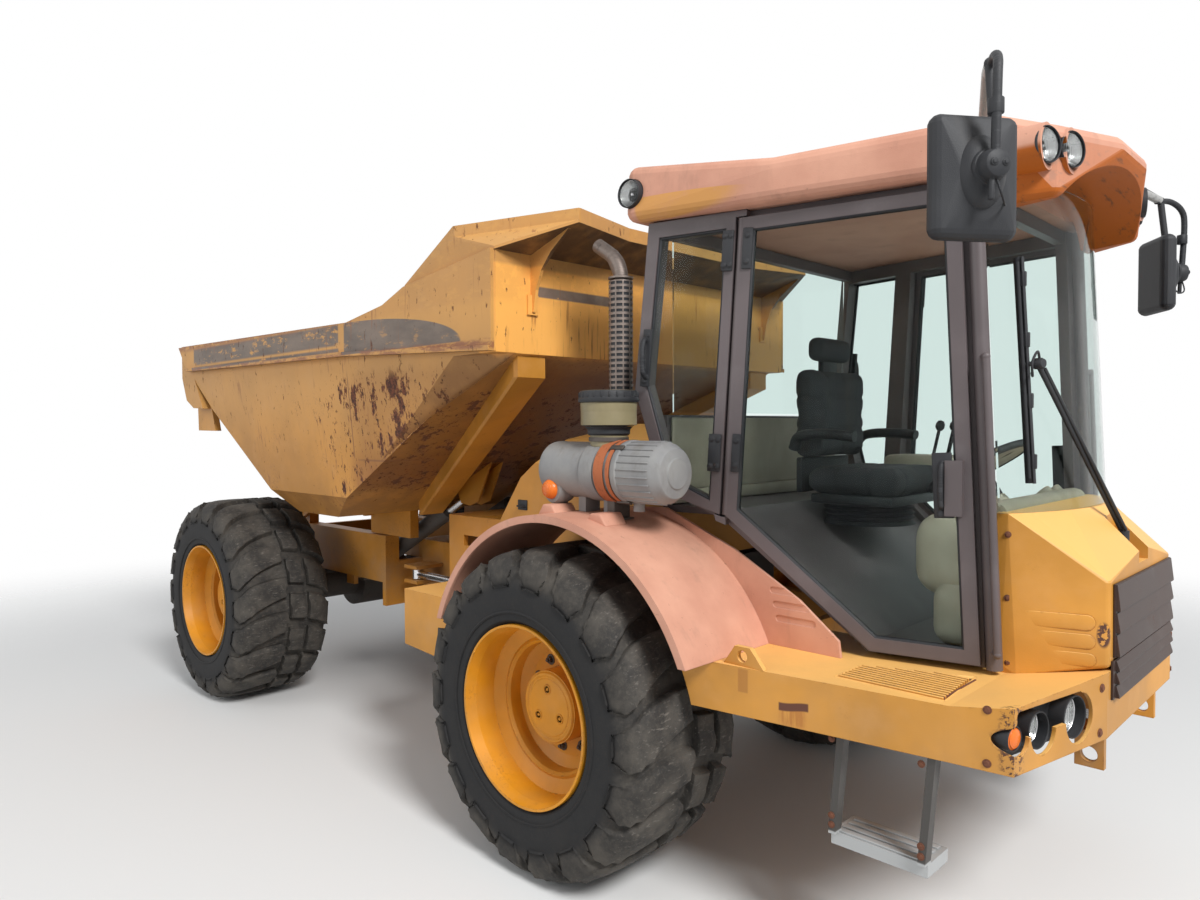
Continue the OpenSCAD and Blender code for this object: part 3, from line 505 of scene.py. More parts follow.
# %% Marks on the bumper
def bumper_marks(paint):
    """A faded patch, one rusted scar with its run, and rust at the swept corner."""
    side = paint.ramp(abs(paint.axis("Y")), 0.99, 1.0)
    x, z = paint.axis("X"), paint.axis("Z")
    patch = paint.box((866, -1200, 852), (902, 1200, 930), 0.003)
    paint.coat(patch * side * 0.7, (0.36, 0.150, 0.030))
    scar = paint.fall(abs(z + (x * 34.0).math("SINE") * 0.006 - at_z(838)), 0.010, 0.016)
    scar = scar * paint.ramp(x, at_x(1008), at_x(1014)) * paint.fall(x, at_x(1108), at_x(1114))
    run = paint.box((1016, -1200, 775), (1100, 1200, 835), 0.012)
    run = run * paint.cloud(0.40, 0.60, 0.02, 4, 0.6, (1, 1, 8), 61)
    paint.coat(run * side * 0.6, (0.34, 0.11, 0.020))
    paint.coat(scar * side, (0.105, 0.035, 0.018))
    corner = [paint.within(spot(1700, y, 870), (0.05, 0.06, 0.20), 0.5) for y in (-925, 925)]
    chips = corner[0].most(corner[1]) * paint.cloud(0.50, 0.56, 0.016, 5, 0.7, seed=63)
    chip = paint.within(spot(1788, -417, 1085), (0.022, 0.03, 0.045), 0.3)
    chips = chips.most(chip * paint.cloud(0.45, 0.50, 0.02, 4, seed=64))
    paint.coat(chips, (0.075, 0.028, 0.016))
    paint.set("Base Color", paint.tone)


bumper_marks(yellow)
print("bumper marked")

# %% [markdown]
# ## Faded plastic, rubber and bare metals
# The arches and the roof are moulded plastic that the sun has bleached to salmon pink.
# Each of the other small finishes is one short recipe of the same kind.

# %% Plain small finishes
def moulded(name, colour, fade, rough=0.55, grain=0.0006, dust=0.3, radius=0.004, slot=None):
    plastic = Finish(name, {"Specular IOR Level": 0.38}, slot)
    clouds = plastic.noise(0.30, 5)
    plastic.tone = plastic.mix(plastic.ramp(clouds, 0.30, 0.72), colour, fade)
    grime_and_shade = plastic.cloud(0.52, 0.78, 0.09, 6, 0.65, (1, 1, 3), 4)
    plastic.coat(grime_and_shade * dust, (0.10, 0.075, 0.055))
    plastic.set("Base Color", plastic.tone)
    plastic.set("Roughness", (rough + clouds * 0.15).clamp())
    plastic.relief(plastic.noise(0.0025, 2), grain, radius)
    return plastic


def metal(name, colour, rough, stain, metallic=1.0, slot=None):
    steel = Finish(name, (), slot)
    clouds = steel.noise(0.06, 5)
    spots = (steel.cloud(0.52, 0.72, 0.02, 5, 0.7, seed=6) * stain).clamp()
    steel.set("Base Color", steel.mix(spots, colour, tuple(c * 0.35 for c in colour)))
    steel.set("Metallic", metallic - spots * 0.5)
    steel.set("Roughness", (rough + clouds * 0.2 + spots * 0.3).clamp())
    steel.relief(steel.noise(0.003, 3), 0.0003, 0.002)
    return steel


arch_pink = moulded("faded_plastic", (0.54, 0.260, 0.178), (0.66, 0.345, 0.240), dust=0.25)
grey_plastic = moulded("grey_plastic", (0.20, 0.20, 0.205), (0.31, 0.305, 0.29), dust=0.45)
cream_plastic = moulded("cream_plastic", (0.21, 0.175, 0.095), (0.32, 0.27, 0.155), 0.3, dust=0.5)
black_plastic = moulded("black_plastic", (0.013, 0.014, 0.017), (0.030, 0.031, 0.034), 0.5,
                        dust=0.12)
beige_trim = moulded("interior", (0.30, 0.26, 0.20), (0.42, 0.37, 0.29), dust=0.2)
seat_cloth = moulded("seat_fabric", (0.022, 0.023, 0.026), (0.04, 0.042, 0.046), 0.85, 0.0015)
amber = moulded("amber_plastic", (0.70, 0.13, 0.008), (0.80, 0.19, 0.02), 0.18, dust=0.2,
                radius=0.002, slot="lamp")
step_metal = metal("step_metal", (0.42, 0.43, 0.43), 0.45, 0.3)
exhaust_steel = metal("exhaust_steel", (0.20, 0.165, 0.145), 0.45, 0.6, 0.8)
metal("rod_chrome", (0.72, 0.72, 0.73), 0.12, 0.15)
metal("engine", (0.085, 0.078, 0.070), 0.55, 0.6, 0.4)
metal("axle_paint", (0.060, 0.050, 0.042), 0.6, 0.5, 0.2)
metal("cylinder_paint", (0.075, 0.066, 0.058), 0.5, 0.5, 0.2)
nut_steel = metal("nut_steel", (0.10, 0.085, 0.075), 0.5, 0.5, 0.7, "exhaust_steel")
strap_rust = metal("strap_rust", (0.42, 0.125, 0.045), 0.65, 0.6, 0.1, "step_metal")
bolt_rust = metal("bolt_rust", (0.15, 0.055, 0.028), 0.7, 0.6, 0.1, "yellow_paint")
silver = metal("lamp_silver", (0.50, 0.50, 0.51), 0.12, 0.2, slot="lamp")
arm_grey = metal("arm_grey", (0.42, 0.42, 0.41), 0.45, 0.5, 0.8, "step_metal")
# the straps that hang the steps are black rubber, the boards bare metal
strap = step_metal.ramp(step_metal.axis("Z"), 0.478, 0.484)
step_metal.set("Base Color", step_metal.mix(strap, (0.42, 0.43, 0.43), (0.055, 0.050, 0.045)))
step_metal.set("Metallic", 0.25 - strap * 0.25)
print("small finishes ready")

# %% Marks of the roof and the arches
def roof_marks(plastic):
    """An unbleached half ellipse on each side, scuffs, and the dark visor."""
    x, z = plastic.axis("X"), plastic.axis("Z")
    u, v = (x - at_x(250)) / 0.80, (z - at_z(2500)) / 0.125
    half = plastic.fall(u * u + v * v, 0.96, 1.0) * plastic.ramp(u, 0.0, 0.02)
    side = plastic.ramp(abs(plastic.axis("Y")), 0.80, 0.82)
    worn = plastic.ramp(plastic.noise(0.10, 5, 0.6, seed=51), 0.25, 0.55, 0.45, 1.0)
    plastic.coat(half * side * worn, (0.60, 0.29, 0.085))
    plastic.coat(plastic.cloud(0.66, 0.70, 0.018, 5, 0.7, (2, 1, 1), 53) * 0.5, (0.20, 0.10, 0.06))
    hidden = plastic.fall(plastic.facing(), -0.25, 0.05)
    hidden = hidden * plastic.ramp(x, at_x(1440), at_x(1480)) * plastic.ramp(z, 2.3, 2.35)
    scratched = plastic.cloud(0.55, 0.66, 0.03, 5, 0.7, (1, 5, 1), 55)
    plastic.coat(hidden, plastic.mix(scratched * 0.7, (0.42, 0.100, 0.004), (0.10, 0.04, 0.015)))
    plastic.set("Base Color", plastic.tone)


roof_marks(arch_pink)
print("roof marked")

# %% [markdown]
# Tyre rubber is dark brown-grey under dried mud, and the mud stays in the hollows. Glass
# is a thin clear coat: it lets the light through and mirrors the sky a little.

# %% Rubber, glass and lamps
def rubber(name):
    tread = Finish(name, {"Specular IOR Level": 0.25})
    clouds = tread.noise(0.12, 6, 0.6)
    tread.tone = tread.mix(tread.ramp(clouds, 0.35, 0.70), (0.030, 0.028, 0.026),
                           (0.078, 0.070, 0.060))
    tread.coat(tread.cloud(0.45, 0.72, 0.018, 5, 0.7, seed=8) * 0.35, (0.105, 0.092, 0.076))
    # side walls are darker, worn crowns are pale with fine scratches
    x, z = tread.axis("X"), tread.axis("Z") - at_z(AXLE_HEIGHT)
    reach = []
    for axle in (FRONT_AXLE, REAR_AXLE):
        off = x - at_x(axle)
        reach.append((off * off + z * z).math("SQRT"))
    reach = reach[0].least(reach[1])
    tread.coat(tread.fall(reach, 0.49, 0.56) * 0.85, (0.014, 0.0145, 0.016))
    scratch = tread.cloud(0.56, 0.70, 0.010, 4, 0.7, (1, 4, 1), 71)
    tread.coat(scratch * tread.ramp(reach, 0.575, 0.63) * 0.5, (0.21, 0.19, 0.165))
    tread.set("Base Color", tread.tone)
    tread.set("Roughness", (0.62 + clouds * 0.25).clamp())
    tread.relief(clouds * 0.6 + tread.noise(0.006, 4) * 0.4, 0.002, 0.006)
    return tread


def clear(name, tint, rough):
    pane = Finish(name, {"Transmission Weight": 1.0, "IOR": 1.12, "Specular IOR Level": 0.5})
    pane.set("Base Color", tint)
    pane.set("Roughness", rough + pane.cloud(0.45, 0.85, 0.2, 5, 0.6) * 0.05)
    return pane


tyre_rubber = rubber("tyre")
clear("glass", (0.80, 0.88, 0.86), 0.02)
lens = clear("lamp", (0.92, 0.93, 0.92), 0.05)
print("all finishes", sorted(m.name for m in bpy.data.materials))

# %% [markdown]
# Every solid of the frame takes the finish that its material slot names, so the drawing
# and the picture agree about what is paint, plastic or rubber.

# %% Give the solids their finishes
for part in frame["record"]["subparts"]:
    solid = frame["nodes"][part["node"]]
    solid.data.materials.clear()
    solid.data.materials.append(bpy.data.materials[part["material_slot"]])
print(len(frame["nodes"]), "solids finished")

# %% [markdown]
# ## Shapes for the small pieces
# Everything that the drawing leaves out is modelled here: tread blocks, nuts, hinges,
# straps, bars. Each begins as a circle, a cube, a flat outline or a profile, and Blender's
# mesh operators turn it into a solid. A piece is built round its own origin in millimetres
# and then set in place, because that is how its size is known on the real vehicle.

# %% A mesh under construction
class Shape:
    """Some closed solids that become one piece."""

    def __init__(self):
        self.bm = bmesh.new()

    def take(self, *others, place=Matrix()):
        """Adds other shapes, moved by place."""
        for other in others:
            mesh = bpy.data.meshes.new("part")
            other.bm.to_mesh(mesh)
            mesh.transform(place)
            self.bm.from_mesh(mesh)
            bpy.data.meshes.remove(mesh)
        return self

    def move(self, matrix):
        bmesh.ops.transform(self.bm, matrix=matrix, verts=self.bm.verts)
        return self

    def at(self, x, y, z, toward=(0, 0, 1)):
        """Moves the shape to a place, its own Z along toward."""
        return self.move(shift(spot(x, y, z)) @ aimed(toward))

    def tidy(self):
        bmesh.ops.remove_doubles(self.bm, verts=self.bm.verts, dist=1e-5)
        bmesh.ops.recalc_face_normals(self.bm, faces=self.bm.faces)
        return self

    def bevel(self, edges, width, segments=2):
        bmesh.ops.bevel(self.bm, geom=list(edges), offset=width / 1000, offset_type="OFFSET",
                        segments=segments, profile=0.5, affect="EDGES", material=-1)
        return self

    def corners(self, angle):
        """The edges that turn by more than angle, in radians."""
        return [e for e in self.bm.edges if e.calc_face_angle(0) > angle]


def aimed(toward):
    return Vector(toward).normalized().to_track_quat("Z", "Y").to_matrix().to_4x4()


def extruded(bm, faces):
    """Extrudes faces and returns what is new, points and faces apart."""
    new = bmesh.ops.extrude_face_region(bm, geom=faces)["geom"]
    return ([g for g in new if isinstance(g, bmesh.types.BMVert)],
            [g for g in new if isinstance(g, bmesh.types.BMFace)])


print("shape helper ready")

# %% [markdown]
# Five starting forms are enough: a block, a turned form spun from its profile, a slab cut
# from an outline, a rod, and a pipe pushed along a smooth path.

# %% Block, turned form, slab, rod and pipe
def box_form(size, middle, soft, segments):
    shape = Shape()
    bmesh.ops.create_cube(shape.bm, size=1.0)
    bmesh.ops.scale(shape.bm, vec=size, verts=shape.bm.verts)
    bmesh.ops.translate(shape.bm, vec=middle, verts=shape.bm.verts)
    return shape.bevel(shape.bm.edges, soft, segments)


def brick(x, y, z, soft=2.0, segments=2):
    """A block of three sizes round its own origin."""
    return box_form(mm(x, y, z), (0, 0, 0), soft, segments)


def block(low, high, soft=2.0, segments=2):
    """A block between two places of the drawing, with soft edges."""
    low, high = spot(*low), spot(*high)
    return box_form(high - low, (high + low) / 2, soft, segments)


def turned(profile, steps=48):
    """A profile of radius and height, spun round Z."""
    shape = Shape()
    verts = [shape.bm.verts.new(mm(r, 0, h)) for r, h in profile]
    edges = [shape.bm.edges.new(pair) for pair in zip(verts, verts[1:])]
    bmesh.ops.spin(shape.bm, geom=verts + edges, cent=(0, 0, 0), axis=(0, 0, 1),
                   angle=math.tau, steps=steps, use_merge=True)
    return shape.tidy()


def ring(inner, outer, low, high, steps):
    """A ring of rectangular section round Z."""
    return turned([(inner, low), (outer, low), (outer, high), (inner, high), (inner, low)], steps)


def slab(outline, thick, soft=0, segments=2):
    """A flat outline in X and Y, thickened upward."""
    shape = Shape()
    face = shape.bm.faces.new([shape.bm.verts.new(mm(x, y, 0)) for x, y in outline])
    raised, _ = extruded(shape.bm, [face])
    bmesh.ops.translate(shape.bm, vec=mm(0, 0, thick), verts=raised)
    shape.tidy()
    return shape.bevel(shape.corners(0.5), soft, segments) if soft else shape


def mirrored(shape, side=-1):
    return Shape().take(shape, place=mirror(side))


def rod(start, end, radius, sides=20, soft=0):
    """A round bar between two places of the drawing."""
    start, end = spot(*start), spot(*end)
    shape = Shape()
    bmesh.ops.create_cone(shape.bm, cap_ends=True, segments=sides, radius1=radius / 1000,
                          radius2=radius / 1000, depth=(end - start).length)
    if soft:
        shape.bevel(shape.corners(1.2), soft)
    return shape.move(shift((start + end) / 2) @ aimed(end - start))


def smooth_path(points, steps=8):
    """Points on a smooth line through places of the drawing."""
    line = [spot(*p) for p in points]
    ends = [line[0] * 2 - line[1]] + line + [line[-1] * 2 - line[-2]]
    path = []
    for a, b, c, d in zip(ends, ends[1:], ends[2:], ends[3:]):
        for i in range(steps):
            t = i / steps
            path.append(0.5 * (2 * b + (c - a) * t + (2 * a - 5 * b + 4 * c - d) * t * t
                               + (3 * b - 3 * c + d - a) * t ** 3))
    return path + [line[-1]]


def pipe(path, radius, sides=12, flat=1.0):
    """A round section pushed along a path; flat squeezes it across."""
    shape = Shape()
    circle = bmesh.ops.create_circle(shape.bm, cap_ends=True, segments=sides, radius=radius / 1000)
    bmesh.ops.scale(shape.bm, vec=(1, flat, 1), verts=circle["verts"])
    aims = [(b - a).normalized() for a, b in zip([path[0]] + path, path[1:] + [path[-1]])]
    up = Vector((0, 0, 1)) if abs(aims[0].z) < 0.9 else Vector((1, 0, 0))
    frames = []
    for point, aim in zip(path, aims):
        side = aim.cross(up).normalized()
        up = side.cross(aim)
        frames.append(shift(point) @ Matrix((side, up, aim)).transposed().to_4x4())
    shape.move(frames[0])
    end = shape.bm.faces[:]
    for last, here in zip(frames, frames[1:]):
        _, end = extruded(shape.bm, end)
        points = list({v for f in end for v in f.verts})
        bmesh.ops.transform(shape.bm, matrix=here @ last.inverted(), verts=points)
    return shape.tidy()


def curve(points, *section):
    return pipe(smooth_path(points), *section)


print("starting forms ready")

# %% [markdown]
# A finished piece gets a plain name, its finish, and the body it rides on, so that it moves
# with the door, the wheel or the tipping body when MuJoCo poses the truck. Most fittings
# come in pairs, so `set_pair` adds the mirror image across the middle of the vehicle.

# %% Set a piece on its body
def set_piece(name, shape, finish, body="front_unit", sharp=32):
    shape.tidy()
    mesh = bpy.data.meshes.new(name)
    shape.bm.to_mesh(mesh)
    shape.bm.free()
    mesh.polygons.foreach_set("use_smooth", [True] * len(mesh.polygons))
    mesh.set_sharp_from_angle(angle=math.radians(sharp))
    made = bpy.data.objects.new(name, mesh)
    bpy.context.collection.objects.link(made)
    mesh.materials.append(finish.material)
    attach(made, body)
    return made


def set_pair(name, shape, finish):
    return set_piece(name, shape.take(mirrored(shape)), finish)


def bolt_head(radius=11, height=8, washer=1.6):
    """A six-sided head on its washer, standing on Z."""
    head = Shape()
    bmesh.ops.create_cone(head.bm, cap_ends=True, segments=6, radius1=radius / 1000,
                          radius2=radius / 1000, depth=height / 1000)
    head.move(shift(mm(0, 0, height / 2))).bevel(head.corners(1.2), 1.0, 1)
    wide = radius * washer
    return head.take(turned([(0, -1), (wide, -1), (wide, 2), (0, 2)], 20))


print("pieces can be set")

# %% [markdown]
# ## Tyres
# These are wide, low-pressure tyres with eighteen long blocks on each side. A block starts
# at a point near the middle of the tread, sweeps out and forward, folds over the shoulder
# and fades away down the side wall. One flat grid is thickened and then wrapped onto that
# path, and copies of it go round the wheel.

# %% One tread block
BLOCKS = 18
# out from the middle of the tyre and radius, along a block and beneath it
CREST = [(12, 644), (90, 644), (170, 642), (228, 633), (268, 613), (289, 580), (298, 545),
         (297, 508)]
BASE = [(12, 606), (90, 606), (170, 605), (222, 598), (255, 584), (275, 560), (287, 530),
        (293, 500)]
TREAD_RADIUS = 640


def on_path(path, t):
    place = min(t * (len(path) - 1), len(path) - 1.001)
    i = int(place)
    (a, b), (c, d) = path[i], path[i + 1]
    return a + (c - a) * (place - i), b + (d - b) * (place - i)


def tread_block(start, end, lead, width):
    """Wraps a thick grid between two shares of the path; lead and width are arcs in mm."""
    shape = Shape()
    cells = max(4, round(16 * (end - start)))
    bmesh.ops.create_grid(shape.bm, x_segments=cells, y_segments=5, size=0.5)
    raised, _ = extruded(shape.bm, shape.bm.faces[:])
    bmesh.ops.translate(shape.bm, vec=(0, 0, 1), verts=raised)
    shape.tidy()
    crown = [e for e in shape.corners(0.6) if all(v.co.z > 0.5 for v in e.verts)]
    for v in shape.bm.verts:
        top = v.co.z > 0.5
        t = start + (end - start) * (v.co.x + 0.5)
        out, radius = on_path(CREST if top else BASE, t)
        angle = (lead(t) + width(t) * (1.0 if top else 1.12) * v.co.y) / TREAD_RADIUS
        v.co = mm(radius * math.sin(angle), -out, radius * math.cos(angle))
    return shape.bevel(crown, 6, 2)


def outer_lead(t):
    return -20 + 118 * min(1.0, t * 1.5) ** 1.4


def taper(t):
    return 55 * max(0, t - 0.72) / 0.28


long_block = tread_block(0.0, 1.0, outer_lead, lambda t: 118 + 52 * min(1, t * 2.2) - taper(t))
middle_block = tread_block(0.0, 0.17, lambda t: -10 + 90 * t, lambda t: 150)
inner_block = tread_block(0.22, 1.0, outer_lead, lambda t: 165 - taper(t))
print("tread block faces", len(long_block.bm.faces))

# %% [markdown]
# The carcass is spun from the section of a real tyre: bead, bulging wall, shoulder and a
# slightly crowned tread. A little noise moves every point by a millimetre or two, because
# no block of an old tyre is still sharp or straight.

# %% Tyres in place of the drawn ones
def make_tyre():
    half = [(357, 268), (372, 286), (410, 293), (470, 296), (530, 290), (575, 270), (598, 236),
            (606, 170), (608, 60)]
    wall = turned(half + [(r, -out) for r, out in reversed(half)] + half[:1], 108)
    bead = turned([(398, 294), (404, 297), (410, 294), (404, 288), (398, 294)], 96)
    for side in (1, -1):
        wall.take(bead, place=Matrix.Scale(side, 4, (0, 0, 1)))
    tyre = Shape().take(wall, place=turn(90, "X"))
    for i in range(BLOCKS):
        tyre.take(long_block, place=turn(i * 360 / BLOCKS, "Y"))
        tyre.take(middle_block, inner_block, place=turn((i + 0.5) * 360 / BLOCKS, "Y") @ mirror())
    for v in tyre.bm.verts:
        push = noise.noise(v.co * 14) * 0.0022 + noise.noise(v.co * 55) * 0.0012
        v.co -= v.co.normalized() * abs(push)
    return tyre


tyre_form = make_tyre()
# place along the vehicle, and 1 for the right side
WHEELS = {"front_right": (FRONT_AXLE, 1), "front_left": (FRONT_AXLE, -1),
          "rear_right": (REAR_AXLE, 1), "rear_left": (REAR_AXLE, -1)}
for corner, (x, side) in WHEELS.items():
    stood = Shape().take(tyre_form, place=shift(spot(x, -970 * side, AXLE_HEIGHT)) @ mirror(side))
    tyre = set_piece("tread_" + corner, stood, tyre_rubber, "wheel_" + corner, sharp=38)
    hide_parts("tyre_" + corner)
print("tyre faces", len(tyre_form.bm.faces))

# %% [markdown]
# ## Wheel fittings
# The rims are drawn with their steps. What is missing are the studs that clamp them, the
# cover plate of the planet gears with its three plugs, and a valve.

# %% Nuts, hub cover and valve
def hub_fittings():
    cover = turned([(0, 6), (112, 6), (116, 3), (122, 3), (128, 8), (136, 7), (141, 1), (141, -3),
                    (0, -3)], 64)
    plug = turned([(0, 9), (5, 9), (7, 6), (13, 6), (15, 10), (19, 9), (21, 5), (0, 5)], 24)
    for angle in (95, 215, 335):
        cover.take(plug, place=shift(turn(angle) @ mm(72, 0, 0)))
    return cover


def rod_end(radius, height):
    tip = [(radius, height - 2), (radius - 2, height), (0, height)]
    return turned([(0, 0), (radius, 0)] + tip, 16)


def stud_ring():
    studs = Shape()
    for i in range(10):
        studs.take(bolt_head(14, 16), rod_end(7, 26), place=shift(turn(i * 36 + 12) @ mm(182, 0, 0)))
    return studs


for corner, (x, side) in WHEELS.items():
    outward, body = (0, -side, 0), "wheel_" + corner
    cover = hub_fittings().at(x, -1100 * side, AXLE_HEIGHT, outward)
    studs = stud_ring().at(x, -1009 * side, AXLE_HEIGHT, outward)
    valve = rod_end(6, 34).at(x + 305, -1090 * side, AXLE_HEIGHT + 60, (-1, -0.6 * side, 0))
    set_piece("hub_cover_" + corner, cover, rim_yellow, body)
    set_piece("wheel_nuts_" + corner, studs, nut_steel, body)
    set_piece("valve_" + corner, valve, nut_steel, body)
print("wheel fittings set")

# %% [markdown]
# ## Glass seals and door fittings
# The doors lean in a plane that opens toward the back, so places on a door are written as
# along the vehicle, height, and how far they stand out of it. Each pane sits in a black
# rubber seal, and hinge leaves, a pull handle and catches are bolted on.

# %% Places on a door plane
LEAN_DEGREES = 11.5
LEAN = math.radians(LEAN_DEGREES)


def on_door(x, z, out=0.0):
    y = -575 + (x - 1490) * math.tan(LEAN)
    return (x + out * math.sin(LEAN), y - out * math.cos(LEAN), z)


def inset(outline, gap):
    """The outline moved inward by gap; its points run anticlockwise or clockwise."""
    points = [Vector(p) for p in outline]
    area = sum(a.x * b.y - b.x * a.y for a, b in zip(points, points[1:] + points[:1]))
    moved = []
    for last, here, after in zip(points[-1:] + points, points, points[1:] + points[:1]):
        first, second = (here - last).normalized(), (after - here).normalized()
        inward = Vector((-first.y - second.y, first.x + second.x)) * math.copysign(1, area)
        moved.append(tuple(here + inward * (gap / (1 + first.dot(second)))))
    return moved


def seal(outline, out):
    """A rubber bead round a closed outline on the door plane."""
    beads = Shape()
    corners = [on_door(x, z, out) for x, z in outline]
    for a, b in zip(corners, corners[1:] + corners[:1]):
        ball = Shape()
        bmesh.ops.create_icosphere(ball.bm, subdivisions=2, radius=0.007)
        beads.take(rod(a, b, 7, 12), ball.move(shift(spot(*a))))
    return beads


DOORS = ((1, "door_right"), (-1, "door_left"))
DOOR = [(672, 2500), (605, 1400), (1135, 962), (1478, 962), (1405, 2500)]
QUARTER = [(330, 2470), (610, 2470), (543, 1450), (378, 1522), (268, 1900)]
door_glass = inset(DOOR, 46)
for side, body in DOORS:
    beads = seal(door_glass, -9).take(seal(door_glass, -22))
    set_piece("seal_" + body, mirrored(beads, side), black_plastic, body)
set_pair("seal_quarter", seal(inset(QUARTER, 3), -16), black_plastic)
print("door glass edge", [tuple(round(c) for c in p) for p in door_glass])

# %% Hinge leaves, handle and catches
def door_leaf(x0, x1, z0, z1, tilt, bolts, thick=7):
    """A small bolted plate on the door plane."""
    plate = brick((x1 - x0) / math.cos(LEAN), z1 - z0, thick, 3)
    for u, v in bolts:
        place = shift(mm((x1 - x0) * u, (z1 - z0) * v, thick / 2))
        plate.take(bolt_head(8, 5, 1.4), place=place)
    stand = turn(LEAN_DEGREES) @ turn(90, "X") @ turn(tilt)
    middle = on_door((x0 + x1) / 2, (z0 + z1) / 2, thick / 2)
    return plate.move(shift(spot(*middle)) @ stand)


def hinge_leaves(places, bolts):
    leaves = Shape()
    for place in places:
        leaves.take(door_leaf(*place, -3.5, bolts))
    return leaves


def door_handle():
    pull = door_leaf(1335, 1395, 1432, 1645, 2.7, [], 12)
    grip = curve([on_door(1362, z, out) for z, out in (
        (1462, 2), (1478, 26), (1530, 32), (1596, 26), (1612, 2))], 9, 12)
    lock = turned([(0, 3), (9, 3), (12, 0), (12, -4), (0, -4)], 24)
    return pull.take(grip, lock.at(*on_door(1362, 1446, 13), (math.sin(LEAN), -math.cos(LEAN), 0)))


FOUR = [(-0.28, -0.36), (0.28, -0.36), (-0.28, 0.36), (0.28, 0.36)]
TWO = [(0, -0.32), (0, 0.32)]
frame_leaves = hinge_leaves(((596, 640, 2310, 2460), (540, 590, 1562, 1704)), FOUR)
set_pair("hinge_leaves_frame", frame_leaves, black_plastic)
for side, body in DOORS:
    leaves = hinge_leaves(((676, 714, 2310, 2460), (634, 668, 1562, 1704)), TWO)
    set_piece("hinge_leaves_" + body, mirrored(leaves, side), black_plastic, body)
    set_piece("handle_" + body, mirrored(door_handle(), side), black_plastic, body)
catch = door_leaf(262, 300, 1890, 2115, -5, [(0, -0.4), (0, 0.4)], 16)
catch.take(curve([on_door(281, z, out) for z, out in (
    (1925, 14), (1950, 40), (2050, 40), (2080, 14))], 11, 12))
set_pair("window_catch", catch, black_plastic)
print("door fittings set")

# %% [markdown]
# ## Air intake and exhaust
# The intake stands on the right wheel arch: a grey canister with a ribbed cover, held by a
# rusty strap, and above it a cream bowl that throws out the coarse dust. Behind it the
# exhaust rises inside a slotted guard.

# %% Canister, ribs, strap and clamp
CANISTER = (0, -950, 1560, (1, 0, 0))
can = turned([(0, -104), (70, -104), (100, -101), (113, -92), (115, -70), (113, -52), (113, 128),
              (116, 132), (116, 140), (0, 140)], 96)
lid = turned([(0, 306), (119, 306), (122, 312), (122, 330), (117, 336), (116, 480), (112, 500),
              (100, 516), (98, 524), (92, 530), (60, 536), (56, 541), (0, 542)], 96)
for i in range(26):
    lid.take(brick(5, 8, 152, 1.5), place=turn(i * 360 / 26) @ shift(mm(0, 116, 412)))
set_piece("air_canister", can.take(lid).at(*CANISTER), grey_plastic)
clips = Shape()
for angle in (40, 160, 280):
    clips.take(brick(20, 8, 66, 2), place=turn(angle) @ shift(mm(0, 124, 312)))
set_piece("air_canister_clips", clips.at(*CANISTER), nut_steel)
band = ring(118, 123, 222, 268, 96).take(ring(118, 122, 284, 302, 96))
band.take(brick(30, 22, 40, 3), place=turn(-60) @ shift(mm(0, 128, 246)))
set_piece("air_canister_strap", band.at(*CANISTER), strap_rust)
foot = block((222, -995, 1378), (262, -905, 1452), 4)
set_piece("canister_foot", foot.take(block((205, -1000, 1372), (280, -900, 1380), 2)), nut_steel)
print("canister set")

# %% Dust bowl
BOWL = (190, -950, 0)
bowl = turned([(0, 1752), (92, 1752), (104, 1760), (110, 1790), (112, 1826), (0, 1826)], 72)
set_piece("dust_bowl", bowl.at(*BOWL), cream_plastic)
cover = Shape()
for profile in (
        [(0, 1828), (118, 1828), (121, 1834), (121, 1842), (116, 1848), (116, 1866), (112, 1873),
         (60, 1876), (0, 1877)],
        [(0, 1736), (98, 1736), (104, 1741), (104, 1750), (0, 1750)],
        [(0, 1700), (78, 1700), (84, 1706), (84, 1722), (96, 1734), (0, 1734)]):
    cover.take(turned(profile, 72))
for i in range(24):
    cover.take(brick(6, 4, 20, 1), place=turn(i * 15) @ shift(mm(0, 117, 1857)))
set_piece("dust_bowl_black", cover.at(*BOWL), black_plastic)
clamp = ring(75, 79, 1676, 1692, 64)
clamp.take(brick(24, 16, 14, 2), place=shift(mm(0, -84, 1684)))
set_piece("intake_clamp", clamp.at(*BOWL), nut_steel)
print("dust bowl set")

# %% [markdown]
# The guard is a sheet bent to a tube and punched with rows of short slots. A grid is
# wrapped round the pipe, every face is inset, and the inset faces are deleted, which
# leaves real holes with the hot pipe behind them. A black sleeve just inside the guard is a
# painted shadow seen through the slots.

# %% Slotted guard round the exhaust
def slotted_tube(radius, height, rows, columns):
    shape = Shape()
    bmesh.ops.create_grid(shape.bm, x_segments=columns, y_segments=rows, size=0.5)
    rims = bmesh.ops.inset_individual(shape.bm, faces=shape.bm.faces[:], thickness=0.0001)["faces"]
    holes = [f for f in shape.bm.faces if f not in rims]
    for face in holes:
        middle = face.calc_center_median()
        for v in face.verts:
            away = v.co - middle
            v.co = middle + Vector((away.x * 0.80, away.y * 0.52, 0))
    bmesh.ops.delete(shape.bm, geom=holes, context="FACES")
    for v in shape.bm.verts:
        angle = (v.co.x + 0.5) * math.tau
        v.co = mm(radius * math.cos(angle), radius * math.sin(angle), (v.co.y + 0.5) * height)
    shape.tidy()
    bmesh.ops.solidify(shape.bm, geom=shape.bm.faces[:], thickness=0.0018)
    return shape


